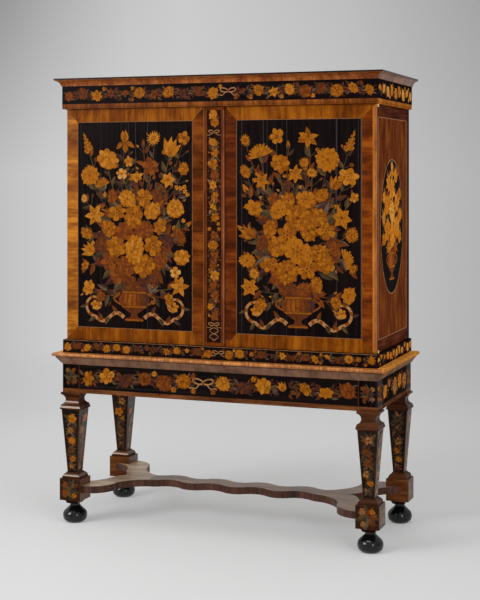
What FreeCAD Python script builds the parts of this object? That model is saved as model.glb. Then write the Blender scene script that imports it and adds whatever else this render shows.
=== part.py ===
import FreeCAD
import Part
import Sketcher

import math
import os
import re

# Cabinet on stand with two marquetry doors, in millimetres.
# +Z is up, the front faces -Y and the origin is on the floor under the middle of the cabinet.

# Driving dimensions. Heights are stacked from the floor up, overhangs are measured from the case.
SIZES = {
    # Heights of the layers
    "foot_height": 75,
    "collar_height": 16,
    "block_height": 87,
    "ovolo_height": 23,
    "shaft_height": 252.5,
    "capital_height": 70,
    "apron_height": 113.5,
    "moulding_height": 47,
    "base_height": 51,
    "door_zone_height": 925,
    "bead_height": 19.5,
    "frieze_height": 72,
    "cornice_height": 30.5,
    # Case
    "body_width": 1280,
    "body_depth": 528,
    "side_thickness": 22,
    "floor_thickness": 22,
    "back_thickness": 12,
    "back_rebate": 10,
    "back_board_gap": 0.8,
    "shelf_thickness": 18,
    "shelf_setback": 32,
    "shelf_play": 0.4,
    "batten_width": 16,
    "batten_height": 22,
    "dust_board_thickness": 16,
    # Crown and base mouldings
    "frieze_overhang": 12.5,
    "cornice_overhang": 25.5,
    "cornice_fillet": 3.5,
    "cornice_lip": 6,
    "cornice_step": 2.5,
    "cornice_flare": 10,
    "bead_lip": 5,
    "bead_groove": 2,
    "base_overhang": 10,
    # Doors
    "door_thickness": 28,
    "door_gap": 1.5,
    "case_gap": 0.5,
    "frame_width": 52,
    "meeting_width": 46.5,
    "edge_round": 9,
    "panel_thickness": 18,
    "tongue_thickness": 7,
    "tongue_depth": 9,
    "tongue_play": 1,
    "strip_width": 89,
    "strip_proud": 3,
    "strip_round": 2,
    "strip_bead_radius": 3.75,
    "strip_groove": 1.5,
    # Pivot hinges
    "pivot_outset": 2,
    "pin_radius": 3,
    "pin_length": 12,
    "pin_play": 0.05,
    "socket_width": 12,
    "socket_height": 14,
    "knuckle_radius": 5,
    "knuckle_height": 10,
    "knuckle_play": 1,
    "hinge_plate_length": 42,
    "hinge_plate_width": 16,
    "hinge_plate_thickness": 3,
    # Lock and bolts
    "fitting_play": 0.3,
    "lock_width": 66,
    "lock_height": 84,
    "lock_depth": 18,
    "lock_bolt_height": 16,
    "lock_bolt_thickness": 8,
    "lock_bolt_length": 44,
    "lock_bolt_rise": 18,
    "lock_throw": 14,
    "keeper_width": 26,
    "keeper_wall": 5,
    "keyhole_radius": 2.6,
    "keyhole_slot": 2.2,
    "keyhole_drop": 9,
    "bolt_width": 14,
    "bolt_thickness": 6,
    "bolt_length": 150,
    "bolt_throw": 14,
    "bolt_setback": 2,
    "bolt_knob_radius": 5,
    "bolt_knob_length": 10,
    "guide_length": 60,
    "guide_wall": 4,
    "guide_plate": 2.4,
    # Stand
    "stand_overhang": 10.5,
    "apron_thickness": 24,
    "moulding_overhang": 33.5,
    "moulding_bead_radius": 7,
    "moulding_soffit": 5,
    "moulding_fillet": 5,
    "stand_top_thickness": 24,
    "stand_top_rebate": 10.5,
    # Legs
    "post_width": 72.5,
    "flange_width": 85,
    "flange_height": 8,
    "neck_width": 56,
    "neck_drop": 30,
    "lip_drop": 50,
    "lip_height": 4.5,
    "rim_width": 91,
    "rim_drop": 7.5,
    "rim_height": 4,
    "shaft_top_width": 80,
    "shaft_bottom_width": 44,
    # Blocks and feet
    "ovolo_top_width": 53,
    "ovolo_fillet": 3,
    "ovolo_bottom_width": 77,
    "block_width": 91,
    "collar_top_width": 60,
    "collar_bottom_width": 47,
    "collar_fillet": 3.5,
    "foot_radius": 49,
    "foot_widest_height": 28,
    "foot_base_radius": 34,
    "foot_under_radius": 45,
    "foot_under_height": 10,
    "foot_shoulder_radius": 42,
    "foot_shoulder_height": 45,
    "foot_throat_radius": 24,
    "foot_throat_height": 61.5,
    "foot_neck_radius": 20,
    "foot_neck_height": 8.5,
    # Stretcher
    "stretcher_top": 150,
    "stretcher_thickness": 28,
    "bar_width": 86,
    "wave_length": 184,
    "wave_amplitude": 15,
    "lobe_length": 102,
    "lobe_inset": 18,
    "cusp_inset": 28,
    "bite_depth": 97,
    "bite_overlap": 15,
}

SHELF_COUNT = 3
BACK_BOARD_COUNT = 5
WAVE_COUNT = 2
# How far along and across its run an arc of the stretcher's outline has come at its middle
SWEEP_SHARE = (0.62, 0.38)
LOBE_SHARE = (0.25, 0.67)
# The same for the pointed bite between two arms: its hollow tip, where it turns over, and its round end
BITE_TIP_SHARE = (0.16, 0.12)
BITE_TURN_SHARE = (0.36, 0.44)
BITE_END_SHARE = (0.59, 0.8)

LAYERS = (
    "foot_height", "collar_height", "block_height", "ovolo_height", "shaft_height",
    "capital_height", "apron_height", "moulding_height", "base_height", "door_zone_height",
    "bead_height", "frieze_height", "cornice_height",
)

doc = FreeCAD.newDocument("cabinet_on_stand")
sheet = doc.addObject("Spreadsheet::Sheet", "dims")
for row, (size_name, size_value) in enumerate(SIZES.items(), start=1):
    sheet.set(f"A{row}", size_name)
    sheet.set(f"B{row}", str(size_value))
    sheet.setAlias(f"B{row}", size_name)
doc.recompute()

nodes = []


# Expressions: a formula names the sizes as plain words and is bound to the sheet's cells.

def bound(formula):
    def cell(match):
        word = match.group(0)
        return f"dims.{word}" if word in SIZES else word
    return re.sub(r"[a-z][a-z_]*", cell, str(formula))


def value(formula):
    return float(sheet.evalExpression(bound(formula)))


def top_of(layer):
    return "(" + " + ".join(LAYERS[:LAYERS.index(layer) + 1]) + ")"


def foot_of(layer):
    return f"({top_of(layer)} - {layer})"


def mirrored(side, low, high):
    if side > 0:
        return low, high
    return f"-({high})", f"-({low})"


# Building blocks

def bind_base(item, x="0", y="0", z="0"):
    item.setExpression("Placement.Base.x", bound(x))
    item.setExpression("Placement.Base.y", bound(y))
    item.setExpression("Placement.Base.z", bound(z))
    return item


def box(name, x, y, z):
    item = doc.addObject("Part::Box", name)
    for size, (low, high) in zip(("Length", "Width", "Height"), (x, y, z)):
        item.setExpression(size, bound(f"({high}) - ({low})"))
    return bind_base(item, x[0], y[0], z[0])


def upright(name, radius, x, y, z):
    item = doc.addObject("Part::Cylinder", name)
    item.setExpression("Radius", bound(radius))
    item.setExpression("Height", bound(f"({z[1]}) - ({z[0]})"))
    return bind_base(item, x, y, z[0])


def crosswise(name, radius, x, y, z):
    # A cylinder along Y, from y[0] to y[1].
    item = doc.addObject("Part::Cylinder", name)
    item.setExpression("Radius", bound(radius))
    item.setExpression("Height", bound(f"({y[1]}) - ({y[0]})"))
    item.Placement.Rotation = FreeCAD.Rotation(FreeCAD.Vector(1, 0, 0), -90)
    return bind_base(item, x, y[0], z)


def arc_geometry(start, end, turn, axis, centre_value):
    middle = ((start[0] + end[0]) / 2, (start[1] + end[1]) / 2)
    run = (end[0] - start[0], end[1] - start[1])
    if axis == "cx":
        centre = (centre_value, middle[1] - (centre_value - middle[0]) * run[0] / run[1])
    else:
        centre = (middle[0] - (centre_value - middle[1]) * run[1] / run[0], centre_value)
    radius = math.dist(centre, start)
    first, last = (start, end) if turn == "left" else (end, start)
    angles = [math.atan2(point[1] - centre[1], point[0] - centre[0]) for point in (first, last)]
    if angles[1] <= angles[0]:
        angles[1] += 2 * math.pi
    circle = Part.Circle(FreeCAD.Vector(*centre, 0), FreeCAD.Vector(0, 0, 1), radius)
    return Part.ArcOfCircle(circle, *angles)


def outline(body, plane, points, at="0"):
    # Each point is (x, y), or (x, y, turn, "cx" or "cy", centre) where an arc leads to it.
    sketch = body.newObject("Sketcher::SketchObject", f"{body.Name}_outline")
    support = [item for item in body.Origin.OriginFeatures if item.Role == plane]
    sketch.AttachmentSupport = [(support[0], "")]
    sketch.MapMode = "FlatFace"
    away = f"-({at})" if plane == "XZ_Plane" else at
    sketch.setExpression("AttachmentOffset.Base.z", bound(away))
    places = [(value(point[0]), value(point[1])) for point in points]
    ends = []
    for index, point in enumerate(points):
        start, end = places[index - 1], places[index]
        if len(point) == 2:
            line = Part.LineSegment(FreeCAD.Vector(*start, 0), FreeCAD.Vector(*end, 0))
            sketch.addGeometry(line, False)
            ends.append((1, 2))
        else:
            turn, axis, centre = point[2:]
            sketch.addGeometry(arc_geometry(start, end, turn, axis, value(centre)), False)
            ends.append((1, 2) if turn == "left" else (2, 1))
    for index, point in enumerate(points):
        following = (index + 1) % len(points)
        joint = Sketcher.Constraint(
            "Coincident", index, ends[index][1], following, ends[following][0])
        sketch.addConstraint(joint)
        for kind, formula in zip(("DistanceX", "DistanceY"), point[:2]):
            hold(sketch, kind, index, ends[index][1], formula)
        if len(point) > 2:
            hold(sketch, "DistanceX" if point[3] == "cx" else "DistanceY", index, 3, point[4])
    return sketch


def hold(sketch, kind, geometry, vertex, formula):
    constraint = Sketcher.Constraint(kind, -1, 1, geometry, vertex, value(formula))
    number = sketch.addConstraint(constraint)
    sketch.setExpression(f"Constraints[{number}]", bound(formula))


def padded(name, plane, points, length, at="0", symmetric=False):
    body = doc.addObject("PartDesign::Body", name)
    pad = body.newObject("PartDesign::Pad", f"{name}_pad")
    pad.Profile = outline(body, plane, points, at)
    pad.setExpression("Length", bound(length))
    if symmetric:
        pad.SideType = "Symmetric"
    return body


def common(name, first, second):
    item = doc.addObject("Part::Common", name)
    item.Base = first
    item.Tool = second
    return item


def cut(name, base, tool):
    item = doc.addObject("Part::Cut", name)
    item.Base = base
    item.Tool = tool
    return item


def fused(name, shapes):
    item = doc.addObject("Part::MultiFuse", name)
    item.Shapes = shapes
    return item


def grouped(name, members):
    item = doc.addObject("Part::Compound", name)
    item.Links = members
    return item


def keep(label, item):
    item.Label = label
    nodes.append(item)
    return item


# Reference lines shared by the pieces

HALF = "(body_width / 2)"
INNER = f"({HALF} - side_thickness)"
BACK = "((body_depth + stand_overhang + moulding_overhang) / 2)"
FACE = f"({BACK} - body_depth)"
DOOR_BACK = f"({FACE} + door_thickness)"
CASE_FRONT = f"({DOOR_BACK} + case_gap)"
BACK_BOARD = f"({BACK} - back_thickness)"
CASE_FOOT = foot_of("base_height")
CASE_FLOOR = top_of("base_height")
CEILING = foot_of("bead_height")
CASE_TOP = top_of("frieze_height")
DOOR_FOOT = f"({CASE_FLOOR} + door_gap)"
DOOR_TOP = f"({CEILING} - door_gap)"
DOOR_MIDDLE = f"(({DOOR_FOOT} + {DOOR_TOP}) / 2)"
STRIP = "(strip_width / 2)"
MEETING = f"({STRIP} + door_gap)"
PIVOT_X = f"({HALF} + pivot_outset)"
PIVOT_Y = f"({DOOR_BACK} + pivot_outset)"
SIDES = {"left": -1, "right": 1}
# The closing strip is joined to the left door, and the right door closes against it.
MEETING_OF = {-1: STRIP, 1: MEETING}


# Bands and mouldings that run round the front and both sides, mitred at the front corners

def front_plan(out, inner_x, inner_y):
    # A front length with mitres that run in from the outer corners as far as the inner corners.
    return [
        (f"-({HALF} + {out})", f"{FACE} - ({out})"),
        (f"{HALF} + {out}", f"{FACE} - ({out})"),
        (inner_x, inner_y),
        (f"-({inner_x})", inner_y),
    ]


def side_plan(side, out, inner_x, inner_y):
    return [
        (f"{side} * ({HALF} + {out})", f"{FACE} - ({out})"),
        (f"{side} * ({HALF} + {out})", BACK),
        (f"{side} * ({inner_x})", BACK),
        (f"{side} * ({inner_x})", inner_y),
    ]


def rail_plan(out):
    # A deep front rail: a mitre as deep as the band on the case side, then a square shoulder.
    return [
        (f"-({HALF} + {out})", f"{FACE} - ({out})"),
        (f"{HALF} + {out}", f"{FACE} - ({out})"),
        (HALF, FACE),
        (HALF, CASE_FRONT),
        (f"-({HALF})", CASE_FRONT),
        (f"-({HALF})", FACE),
    ]


def run_profile(points, side=0):
    # A profile given as (distance out, height) from the case line, laid on a front or a side.
    placed = []
    for out, height, *arc in points:
        if side:
            first = f"{side} * ({HALF} + ({out}))"
        else:
            first = f"{FACE} - ({out})"
        if arc:
            turn, axis, centre = arc
            flips = not side or side < 0
            if flips:
                turn = "right" if turn == "left" else "left"
            if axis == "cx":
                centre = f"{side} * ({HALF} + ({centre}))" if side else f"{FACE} - ({centre})"
            arc = (turn, axis, centre)
        placed.append((first, height, *arc))
    return placed


def moulded(name, profile, plan, floor, height, side=0):
    plane = "XZ_Plane" if side else "YZ_Plane"
    reach = "2 * (body_width + body_depth)"
    run = padded(f"{name}_run", plane, run_profile(profile, side), reach, symmetric=True)
    block = padded(f"{name}_plan", "XY_Plane", plan, height, at=floor)
    return common(name, run, block)


# Pivot hinges: sockets in the case, pins on the doors

def socket_block(name, x, z):
    half = "socket_width / 2"
    return box(name, (f"{x} - {half}", f"{x} + {half}"), (f"{PIVOT_Y} - {half}", f"{PIVOT_Y} + {half}"), z)


def pivot_tools():
    seats, clearances, sockets = [], [], []
    ends = {
        "top": (CEILING, f"{CEILING} + socket_height", f"{DOOR_TOP} - knuckle_height", CEILING),
        "bottom": (f"{CASE_FLOOR} - socket_height", CASE_FLOOR, CASE_FLOOR,
                   f"{DOOR_FOOT} + knuckle_height"),
    }
    for side_name, side in SIDES.items():
        for end, (low, high, notch_low, notch_high) in ends.items():
            place = f"{side_name}_{end}"
            x = f"{side} * {PIVOT_X}"
            seats.append(socket_block(f"socket_seat_{place}", x, (low, high)))
            clearances.append(upright(
                f"knuckle_notch_{place}", "knuckle_radius + knuckle_play", x, PIVOT_Y,
                (f"{notch_low} - knuckle_play", f"{notch_high} + knuckle_play")))
            block = socket_block(f"socket_block_{place}", x, (low, high))
            bore = upright(f"socket_bore_{place}", "pin_radius + pin_play", x, PIVOT_Y, (low, high))
            sockets.append(cut(f"socket_{place}", block, bore))
    keep("pivot_sockets", grouped("pivot_sockets", sockets))
    return grouped("socket_seats", seats), grouped("knuckle_notches", clearances)


def door_pivots(side_name, side):
    fittings = []
    for end in ("top", "bottom"):
        name = f"{side_name}_pivot_{end}"
        if end == "top":
            plate_z = (f"{DOOR_TOP} - hinge_plate_thickness", DOOR_TOP)
            knuckle_z = (f"{DOOR_TOP} - knuckle_height", DOOR_TOP)
            pin_z = (f"{DOOR_TOP} - knuckle_height / 2", f"{DOOR_TOP} + pin_length")
        else:
            plate_z = (DOOR_FOOT, f"{DOOR_FOOT} + hinge_plate_thickness")
            knuckle_z = (DOOR_FOOT, f"{DOOR_FOOT} + knuckle_height")
            pin_z = (f"{DOOR_FOOT} - pin_length", f"{DOOR_FOOT} + knuckle_height / 2")
        plate = box(
            f"{name}_plate", mirrored(side, f"{HALF} - hinge_plate_length", HALF),
            (f"{DOOR_BACK} - hinge_plate_width", DOOR_BACK), plate_z)
        knuckle = upright(
            f"{name}_knuckle", "knuckle_radius", f"{side} * {PIVOT_X}", PIVOT_Y, knuckle_z)
        pin = upright(f"{name}_pin", "pin_radius", f"{side} * {PIVOT_X}", PIVOT_Y, pin_z)
        fittings.append(fused(name, [plate, knuckle, pin]))
    return keep(f"{side_name}_door_pivots", grouped(f"{side_name}_door_pivots", fittings))


# Case: sides, floor, ceiling, shelves and back

def case_pieces(socket_seats, knuckle_notches):
    for side_name, side in SIDES.items():
        name = f"case_{side_name}_side"
        board = box(
            f"{name}_board", mirrored(side, INNER, HALF), (CASE_FRONT, BACK), (CASE_FOOT, CASE_TOP))
        rebate = box(
            f"{name}_rebate", mirrored(side, INNER, f"{INNER} + back_rebate"),
            (BACK_BOARD, BACK), (CASE_FOOT, CASE_TOP))
        notches = grouped(f"{name}_notches", [rebate, socket_seats, knuckle_notches])
        keep(name, cut(name, board, notches))
    inside = (f"-({INNER})", INNER)
    deep = (CASE_FRONT, BACK_BOARD)
    floor = box("case_floor_board", inside, deep, (f"{CASE_FLOOR} - floor_thickness", CASE_FLOOR))
    ceiling = box("case_ceiling_board", inside, deep, (CEILING, f"{CEILING} + bead_height"))
    keep("case_bottom", cut("case_bottom", floor, bolt_mortise("lower")))
    keep("case_top", cut("case_top", ceiling, bolt_mortise("upper")))
    keep("dust_board", box(
        "dust_board", (f"-({HALF} - side_thickness / 2)", f"{HALF} - side_thickness / 2"),
        (f"{FACE} + side_thickness / 2", BACK), (CASE_TOP, f"{CASE_TOP} + dust_board_thickness")))
    shelf_pieces()
    back_pieces()


def shelf_pieces():
    shelves, battens = [], []
    clear = f"((door_zone_height - {SHELF_COUNT} * shelf_thickness) / {SHELF_COUNT + 1})"
    deep = (f"{CASE_FRONT} + shelf_setback", BACK_BOARD)
    for number in range(1, SHELF_COUNT + 1):
        foot = f"({CASE_FLOOR} + {number} * {clear} + {number - 1} * shelf_thickness)"
        shelves.append(box(
            f"shelf_{number}", (f"-({INNER} - shelf_play)", f"{INNER} - shelf_play"),
            deep, (foot, f"{foot} + shelf_thickness")))
        for side_name, side in SIDES.items():
            battens.append(box(
                f"batten_{number}_{side_name}", mirrored(side, f"{INNER} - batten_width", INNER),
                deep, (f"{foot} - batten_height", foot)))
    keep("shelves", grouped("shelves", shelves))
    keep("shelf_battens", grouped("shelf_battens", battens))


def back_pieces():
    boards = []
    edge = f"({INNER} + back_rebate)"
    pitch = f"((2 * {edge} + back_board_gap) / {BACK_BOARD_COUNT})"
    for number in range(BACK_BOARD_COUNT):
        left = f"(-{edge} + {number} * {pitch})"
        boards.append(box(
            f"back_board_{number + 1}", (left, f"{left} + {pitch} - back_board_gap"),
            (BACK_BOARD, BACK), (CASE_FOOT, CASE_TOP)))
    keep("back_boards", grouped("back_boards", boards))


# Crown: cornice, frieze and the cross-banded bead below it; base band under the doors

def crown_pieces(socket_seats):
    crown_out = "frieze_overhang + cornice_overhang"
    tie = "side_thickness / 2"
    cove_top = f"({top_of('cornice_height')} - cornice_lip - cornice_step)"
    cove_foot = f"({CASE_TOP} + cornice_fillet)"
    cove_end = f"({crown_out} - 2 * cornice_step)"
    cornice = [
        (f"-({tie})", CASE_TOP),
        ("frieze_overhang + cornice_fillet", CASE_TOP),
        ("frieze_overhang + cornice_fillet", cove_foot),
        (cove_end, cove_top, "right", "cx", f"{cove_end} + cornice_flare"),
        (f"{crown_out} - cornice_step", cove_top),
        (f"{crown_out} - cornice_step", f"{cove_top} + cornice_step"),
        (crown_out, f"{cove_top} + cornice_step"),
        (crown_out, top_of("cornice_height")),
        (f"-({tie})", top_of("cornice_height")),
    ]
    inner_x, inner_y = f"{HALF} - {tie}", f"{FACE} + {tie}"
    keep("cornice_front", moulded(
        "cornice_front", cornice, front_plan(crown_out, inner_x, inner_y),
        CASE_TOP, "cornice_height"))
    bead = [
        ("-body_depth / 2", CEILING),
        ("frieze_overhang - bead_groove", CEILING),
        ("frieze_overhang", f"{CEILING} + bead_groove"),
        ("frieze_overhang", f"{CEILING} + bead_lip"),
        ("frieze_overhang - bead_groove", f"{CEILING} + bead_lip"),
        ("frieze_overhang - bead_groove", f"{CEILING} + bead_lip + bead_groove"),
        ("frieze_overhang", f"{CEILING} + bead_lip + bead_groove"),
        ("frieze_overhang", f"{CEILING} + bead_height"),
        ("-body_depth / 2", f"{CEILING} + bead_height"),
    ]
    frieze_foot = foot_of("frieze_height")
    keep("frieze_front", padded(
        "frieze_front", "XY_Plane", rail_plan("frieze_overhang"), "frieze_height", at=frieze_foot))
    bead_run = moulded("bead_front_run", bead, rail_plan("frieze_overhang"), CEILING, "bead_height")
    keep("bead_front", cut("bead_front", bead_run, socket_seats))
    for side_name, side in SIDES.items():
        keep(f"cornice_{side_name}", moulded(
            f"cornice_{side_name}", cornice, side_plan(side, crown_out, inner_x, inner_y),
            CASE_TOP, "cornice_height", side))
        strip = side_plan(side, "frieze_overhang", HALF, FACE)
        keep(f"frieze_{side_name}", padded(
            f"frieze_{side_name}", "XY_Plane", strip, "frieze_height", at=frieze_foot))
        bead_run = moulded(f"bead_{side_name}_run", bead, strip, CEILING, "bead_height", side)
        keep(f"bead_{side_name}", cut(f"bead_{side_name}", bead_run, socket_seats))


def base_pieces(socket_seats):
    rail = padded(
        "base_rail", "XY_Plane", rail_plan("base_overhang"), "base_height", at=CASE_FOOT)
    keep("base_band_front", cut("base_band_front", rail, socket_seats))
    for side_name, side in SIDES.items():
        strip = padded(
            f"base_strip_{side_name}", "XY_Plane", side_plan(side, "base_overhang", HALF, FACE),
            "base_height", at=CASE_FOOT)
        keep(f"base_band_{side_name}", cut(f"base_band_{side_name}", strip, socket_seats))


# Doors: a mitred frame round a flush panel that is held by a tongue on all four edges

def groove_lines():
    low = f"({FACE} + (panel_thickness - tongue_thickness) / 2)"
    return low, f"({low} + tongue_thickness)"


def stile(name, side, outer, inner, rounded):
    # outer is the free edge of the stile, inner the edge at the panel.
    groove_low, groove_high = groove_lines()
    toward = 1 if value(outer) > value(inner) else -1
    bottom = f"({inner} + {toward} * tongue_depth)"
    section = [
        (f"{side} * ({inner})", DOOR_BACK),
        (f"{side} * ({inner})", groove_high),
        (f"{side} * ({bottom})", groove_high),
        (f"{side} * ({bottom})", groove_low),
        (f"{side} * ({inner})", groove_low),
        (f"{side} * ({inner})", FACE),
    ]
    if rounded:
        turn = "left" if side * toward > 0 else "right"
        round_start = f"{outer} - {toward} * edge_round"
        section += [
            (f"{side} * ({round_start})", FACE),
            (f"{side} * ({outer})", f"{FACE} + edge_round", turn, "cx", f"{side} * ({round_start})"),
        ]
    else:
        section.append((f"{side} * ({outer})", FACE))
    section.append((f"{side} * ({outer})", DOOR_BACK))
    run = padded(
        f"{name}_run", "XY_Plane", section, f"{DOOR_TOP} - {DOOR_FOOT}", at=DOOR_FOOT)
    mitre = [
        (f"{side} * ({outer})", DOOR_FOOT),
        (f"{side} * ({outer})", DOOR_TOP),
        (f"{side} * ({inner})", f"{DOOR_TOP} - frame_width"),
        (f"{side} * ({inner})", f"{DOOR_FOOT} + frame_width"),
    ]
    # The groove runs the whole length and the mitred blank trims both ends.
    blank = padded(
        f"{name}_blank", "XZ_Plane", mitre, "2 * door_thickness", at=FACE, symmetric=True)
    return common(f"{name}_mitred", run, blank)


def rail(name, side, edge, sign):
    # edge is the free edge of the rail, and sign points from it to the panel.
    groove_low, groove_high = groove_lines()
    inner = f"({edge} + {sign} * frame_width)"
    bottom = f"({inner} - {sign} * tongue_depth)"
    section = [
        (DOOR_BACK, inner),
        (groove_high, inner),
        (groove_high, bottom),
        (groove_low, bottom),
        (groove_low, inner),
        (FACE, inner),
        (FACE, edge),
        (DOOR_BACK, edge),
    ]
    run = padded(f"{name}_run", "YZ_Plane", section, "2 * body_width", symmetric=True)
    mitre = [
        (f"{side} * {MEETING_OF[side]}", edge),
        (f"{side} * {HALF}", edge),
        (f"{side} * ({HALF} - frame_width)", inner),
        (f"{side} * ({MEETING_OF[side]} + meeting_width)", inner),
    ]
    blank = padded(
        f"{name}_blank", "XZ_Plane", mitre, "2 * door_thickness", at=FACE, symmetric=True)
    return common(f"{name}_mitred", run, blank)


def door_pieces(side_name, side):
    pivots = door_pivots(side_name, side)
    door = f"{side_name}_door"
    meeting = MEETING_OF[side]
    hinge_inner = f"({HALF} - frame_width)"
    meeting_inner = f"({meeting} + meeting_width)"
    pieces = {
        f"{door}_hinge_stile": stile(f"{door}_hinge_stile", side, HALF, hinge_inner, True),
        f"{door}_top_rail": rail(f"{door}_top_rail", side, DOOR_TOP, -1),
        f"{door}_bottom_rail": rail(f"{door}_bottom_rail", side, DOOR_FOOT, 1),
    }
    for name, piece in pieces.items():
        keep(name, cut(name, piece, pivots))
    keep(f"{door}_meeting_stile", stile(
        f"{door}_meeting_stile", side, meeting, meeting_inner, False))
    panel_foot, panel_top = f"({DOOR_FOOT} + frame_width)", f"({DOOR_TOP} - frame_width)"
    groove_low, groove_high = groove_lines()
    reach = "(tongue_depth - tongue_play)"
    field = box(
        f"{door}_field", mirrored(side, meeting_inner, hinge_inner),
        (FACE, f"{FACE} + panel_thickness"), (panel_foot, panel_top))
    tongue = box(
        f"{door}_tongue", mirrored(side, f"{meeting_inner} - {reach}", f"{hinge_inner} + {reach}"),
        (groove_low, groove_high), (f"{panel_foot} - {reach}", f"{panel_top} + {reach}"))
    keep(f"{door}_panel", fused(f"{door}_panel", [field, tongue]))


def closing_strip():
    front = f"({FACE} - strip_proud)"
    bead_left = f"({STRIP} - 2 * strip_bead_radius)"
    section = [
        (f"-({STRIP})", DOOR_BACK),
        (f"-({STRIP})", f"{front} + strip_round"),
        (f"-({STRIP}) + strip_round", front, "left", "cx", f"-({STRIP}) + strip_round"),
        (f"{bead_left} - strip_groove", front),
        (f"{bead_left} - strip_groove", f"{front} + strip_groove"),
        (bead_left, f"{front} + strip_groove"),
        (bead_left, front),
        (STRIP, front, "left", "cy", front),
        (STRIP, DOOR_BACK),
    ]
    board = padded(
        "closing_strip_board", "XY_Plane", section, f"{DOOR_TOP} - {DOOR_FOOT}", at=DOOR_FOOT)
    through = (f"{front} - strip_bead_radius", DOOR_BACK)
    pipe = crosswise("keyhole_round", "keyhole_radius", "0", through, DOOR_MIDDLE)
    slot = box(
        "keyhole_slot_cut", ("-keyhole_slot / 2", "keyhole_slot / 2"), through,
        (f"{DOOR_MIDDLE} - keyhole_drop", DOOR_MIDDLE))
    keep("closing_strip", cut("closing_strip", board, fused("keyhole", [pipe, slot])))


# Lock on the left door, its keeper and the two slide bolts on the right door

LOCK_LEFT = f"({STRIP} - keeper_wall - lock_width)"
LOCK_RIGHT = f"({STRIP} - keeper_wall)"
LOCK_BOLT_Z = f"({DOOR_MIDDLE} + lock_bolt_rise)"
LOCK_BOLT_Y = f"({DOOR_BACK} + lock_depth / 2)"
BOLT_X = f"({MEETING} + meeting_width / 2)"
BOLT_Y = f"({DOOR_BACK} + guide_plate + fitting_play)"


def lock_bolt_room(name, x, play):
    return box(
        name, x,
        (f"{LOCK_BOLT_Y} - lock_bolt_thickness / 2 - {play}",
         f"{LOCK_BOLT_Y} + lock_bolt_thickness / 2 + {play}"),
        (f"{LOCK_BOLT_Z} - lock_bolt_height / 2 - {play}",
         f"{LOCK_BOLT_Z} + lock_bolt_height / 2 + {play}"))


def lock_pieces():
    case = box(
        "lock_box", (LOCK_LEFT, LOCK_RIGHT), (DOOR_BACK, f"{DOOR_BACK} + lock_depth"),
        (f"{DOOR_MIDDLE} - lock_height / 2", f"{DOOR_MIDDLE} + lock_height / 2"))
    tail = f"({LOCK_RIGHT} - lock_bolt_length)"
    channel = lock_bolt_room(
        "lock_channel", (f"{tail} - fitting_play", LOCK_RIGHT), "fitting_play")
    keep("lock_case", cut("lock_case", case, channel))
    keep("lock_bolt", lock_bolt_room("lock_bolt", (tail, LOCK_RIGHT), "0"))


def keeper():
    left = f"({MEETING} + fitting_play)"
    block = box(
        "keeper_block", (left, f"{left} + keeper_width"), (DOOR_BACK, f"{DOOR_BACK} + lock_depth"),
        (f"{LOCK_BOLT_Z} - lock_bolt_height / 2 - keeper_wall",
         f"{LOCK_BOLT_Z} + lock_bolt_height / 2 + keeper_wall"))
    mouth = lock_bolt_room(
        "keeper_mouth", (left, f"{LOCK_RIGHT} + lock_throw + fitting_play"), "fitting_play")
    return cut("lock_keeper", block, mouth)


def bolt_span(end):
    if end == "upper":
        high = f"({DOOR_TOP} - bolt_setback)"
        return f"({high} - bolt_length)", high
    low = f"({DOOR_FOOT} + bolt_setback)"
    return low, f"({low} + bolt_length)"


def bolt_bar(name, z, play):
    return box(
        name, (f"{BOLT_X} - bolt_width / 2 - {play}", f"{BOLT_X} + bolt_width / 2 + {play}"),
        (f"{BOLT_Y} - {play}", f"{BOLT_Y} + bolt_thickness + {play}"), z)


def bolt_mortise(end):
    reach = "(bolt_throw - bolt_setback - door_gap + fitting_play)"
    if end == "upper":
        span = (CEILING, f"{CEILING} + {reach}")
    else:
        span = (f"{CASE_FLOOR} - {reach}", CASE_FLOOR)
    return bolt_bar(f"{end}_bolt_mortise", span, "fitting_play")


def bolt_pieces():
    staples = [keeper()]
    for end in ("upper", "lower"):
        low, high = bolt_span(end)
        knob_z = f"({low} + 2 * bolt_knob_radius)"
        guide_z = (f"{high} - guide_length - bolt_throw", f"{high} - bolt_throw")
        if end == "lower":
            knob_z = f"({high} - 2 * bolt_knob_radius)"
            guide_z = (f"{low} + bolt_throw", f"{low} + bolt_throw + guide_length")
        bar = bolt_bar(f"{end}_bolt_bar", (low, high), "0")
        knob = crosswise(
            f"{end}_bolt_knob", "bolt_knob_radius", BOLT_X,
            (f"{BOLT_Y} + bolt_thickness / 2", f"{BOLT_Y} + bolt_thickness + bolt_knob_length"), knob_z)
        keep(f"{end}_bolt", fused(f"{end}_bolt", [bar, knob]))
        guide = box(
            f"{end}_guide_block",
            (f"{BOLT_X} - bolt_width / 2 - guide_wall", f"{BOLT_X} + bolt_width / 2 + guide_wall"),
            (DOOR_BACK, f"{BOLT_Y} + bolt_thickness + guide_plate"), guide_z)
        channel = bolt_bar(f"{end}_guide_channel", guide_z, "fitting_play")
        staples.append(cut(f"{end}_guide", guide, channel))
    keep("right_door_staples", grouped("right_door_staples", staples))


# Stand: top board, moulding, aprons, legs, blocks and feet

APRON_X = f"({HALF} + stand_overhang)"
APRON_Y = f"({FACE} - stand_overhang)"
APRON_FOOT = foot_of("apron_height")
APRON_TOP = top_of("apron_height")
STAND_TOP = top_of("moulding_height")
LEG_X = f"({APRON_X} - post_width / 2)"
LEG_FRONT_Y = f"({APRON_Y} + post_width / 2)"
LEG_BACK_Y = f"({BACK} - foot_radius)"
POST_BACK = f"({LEG_BACK_Y} + post_width / 2)"


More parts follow.
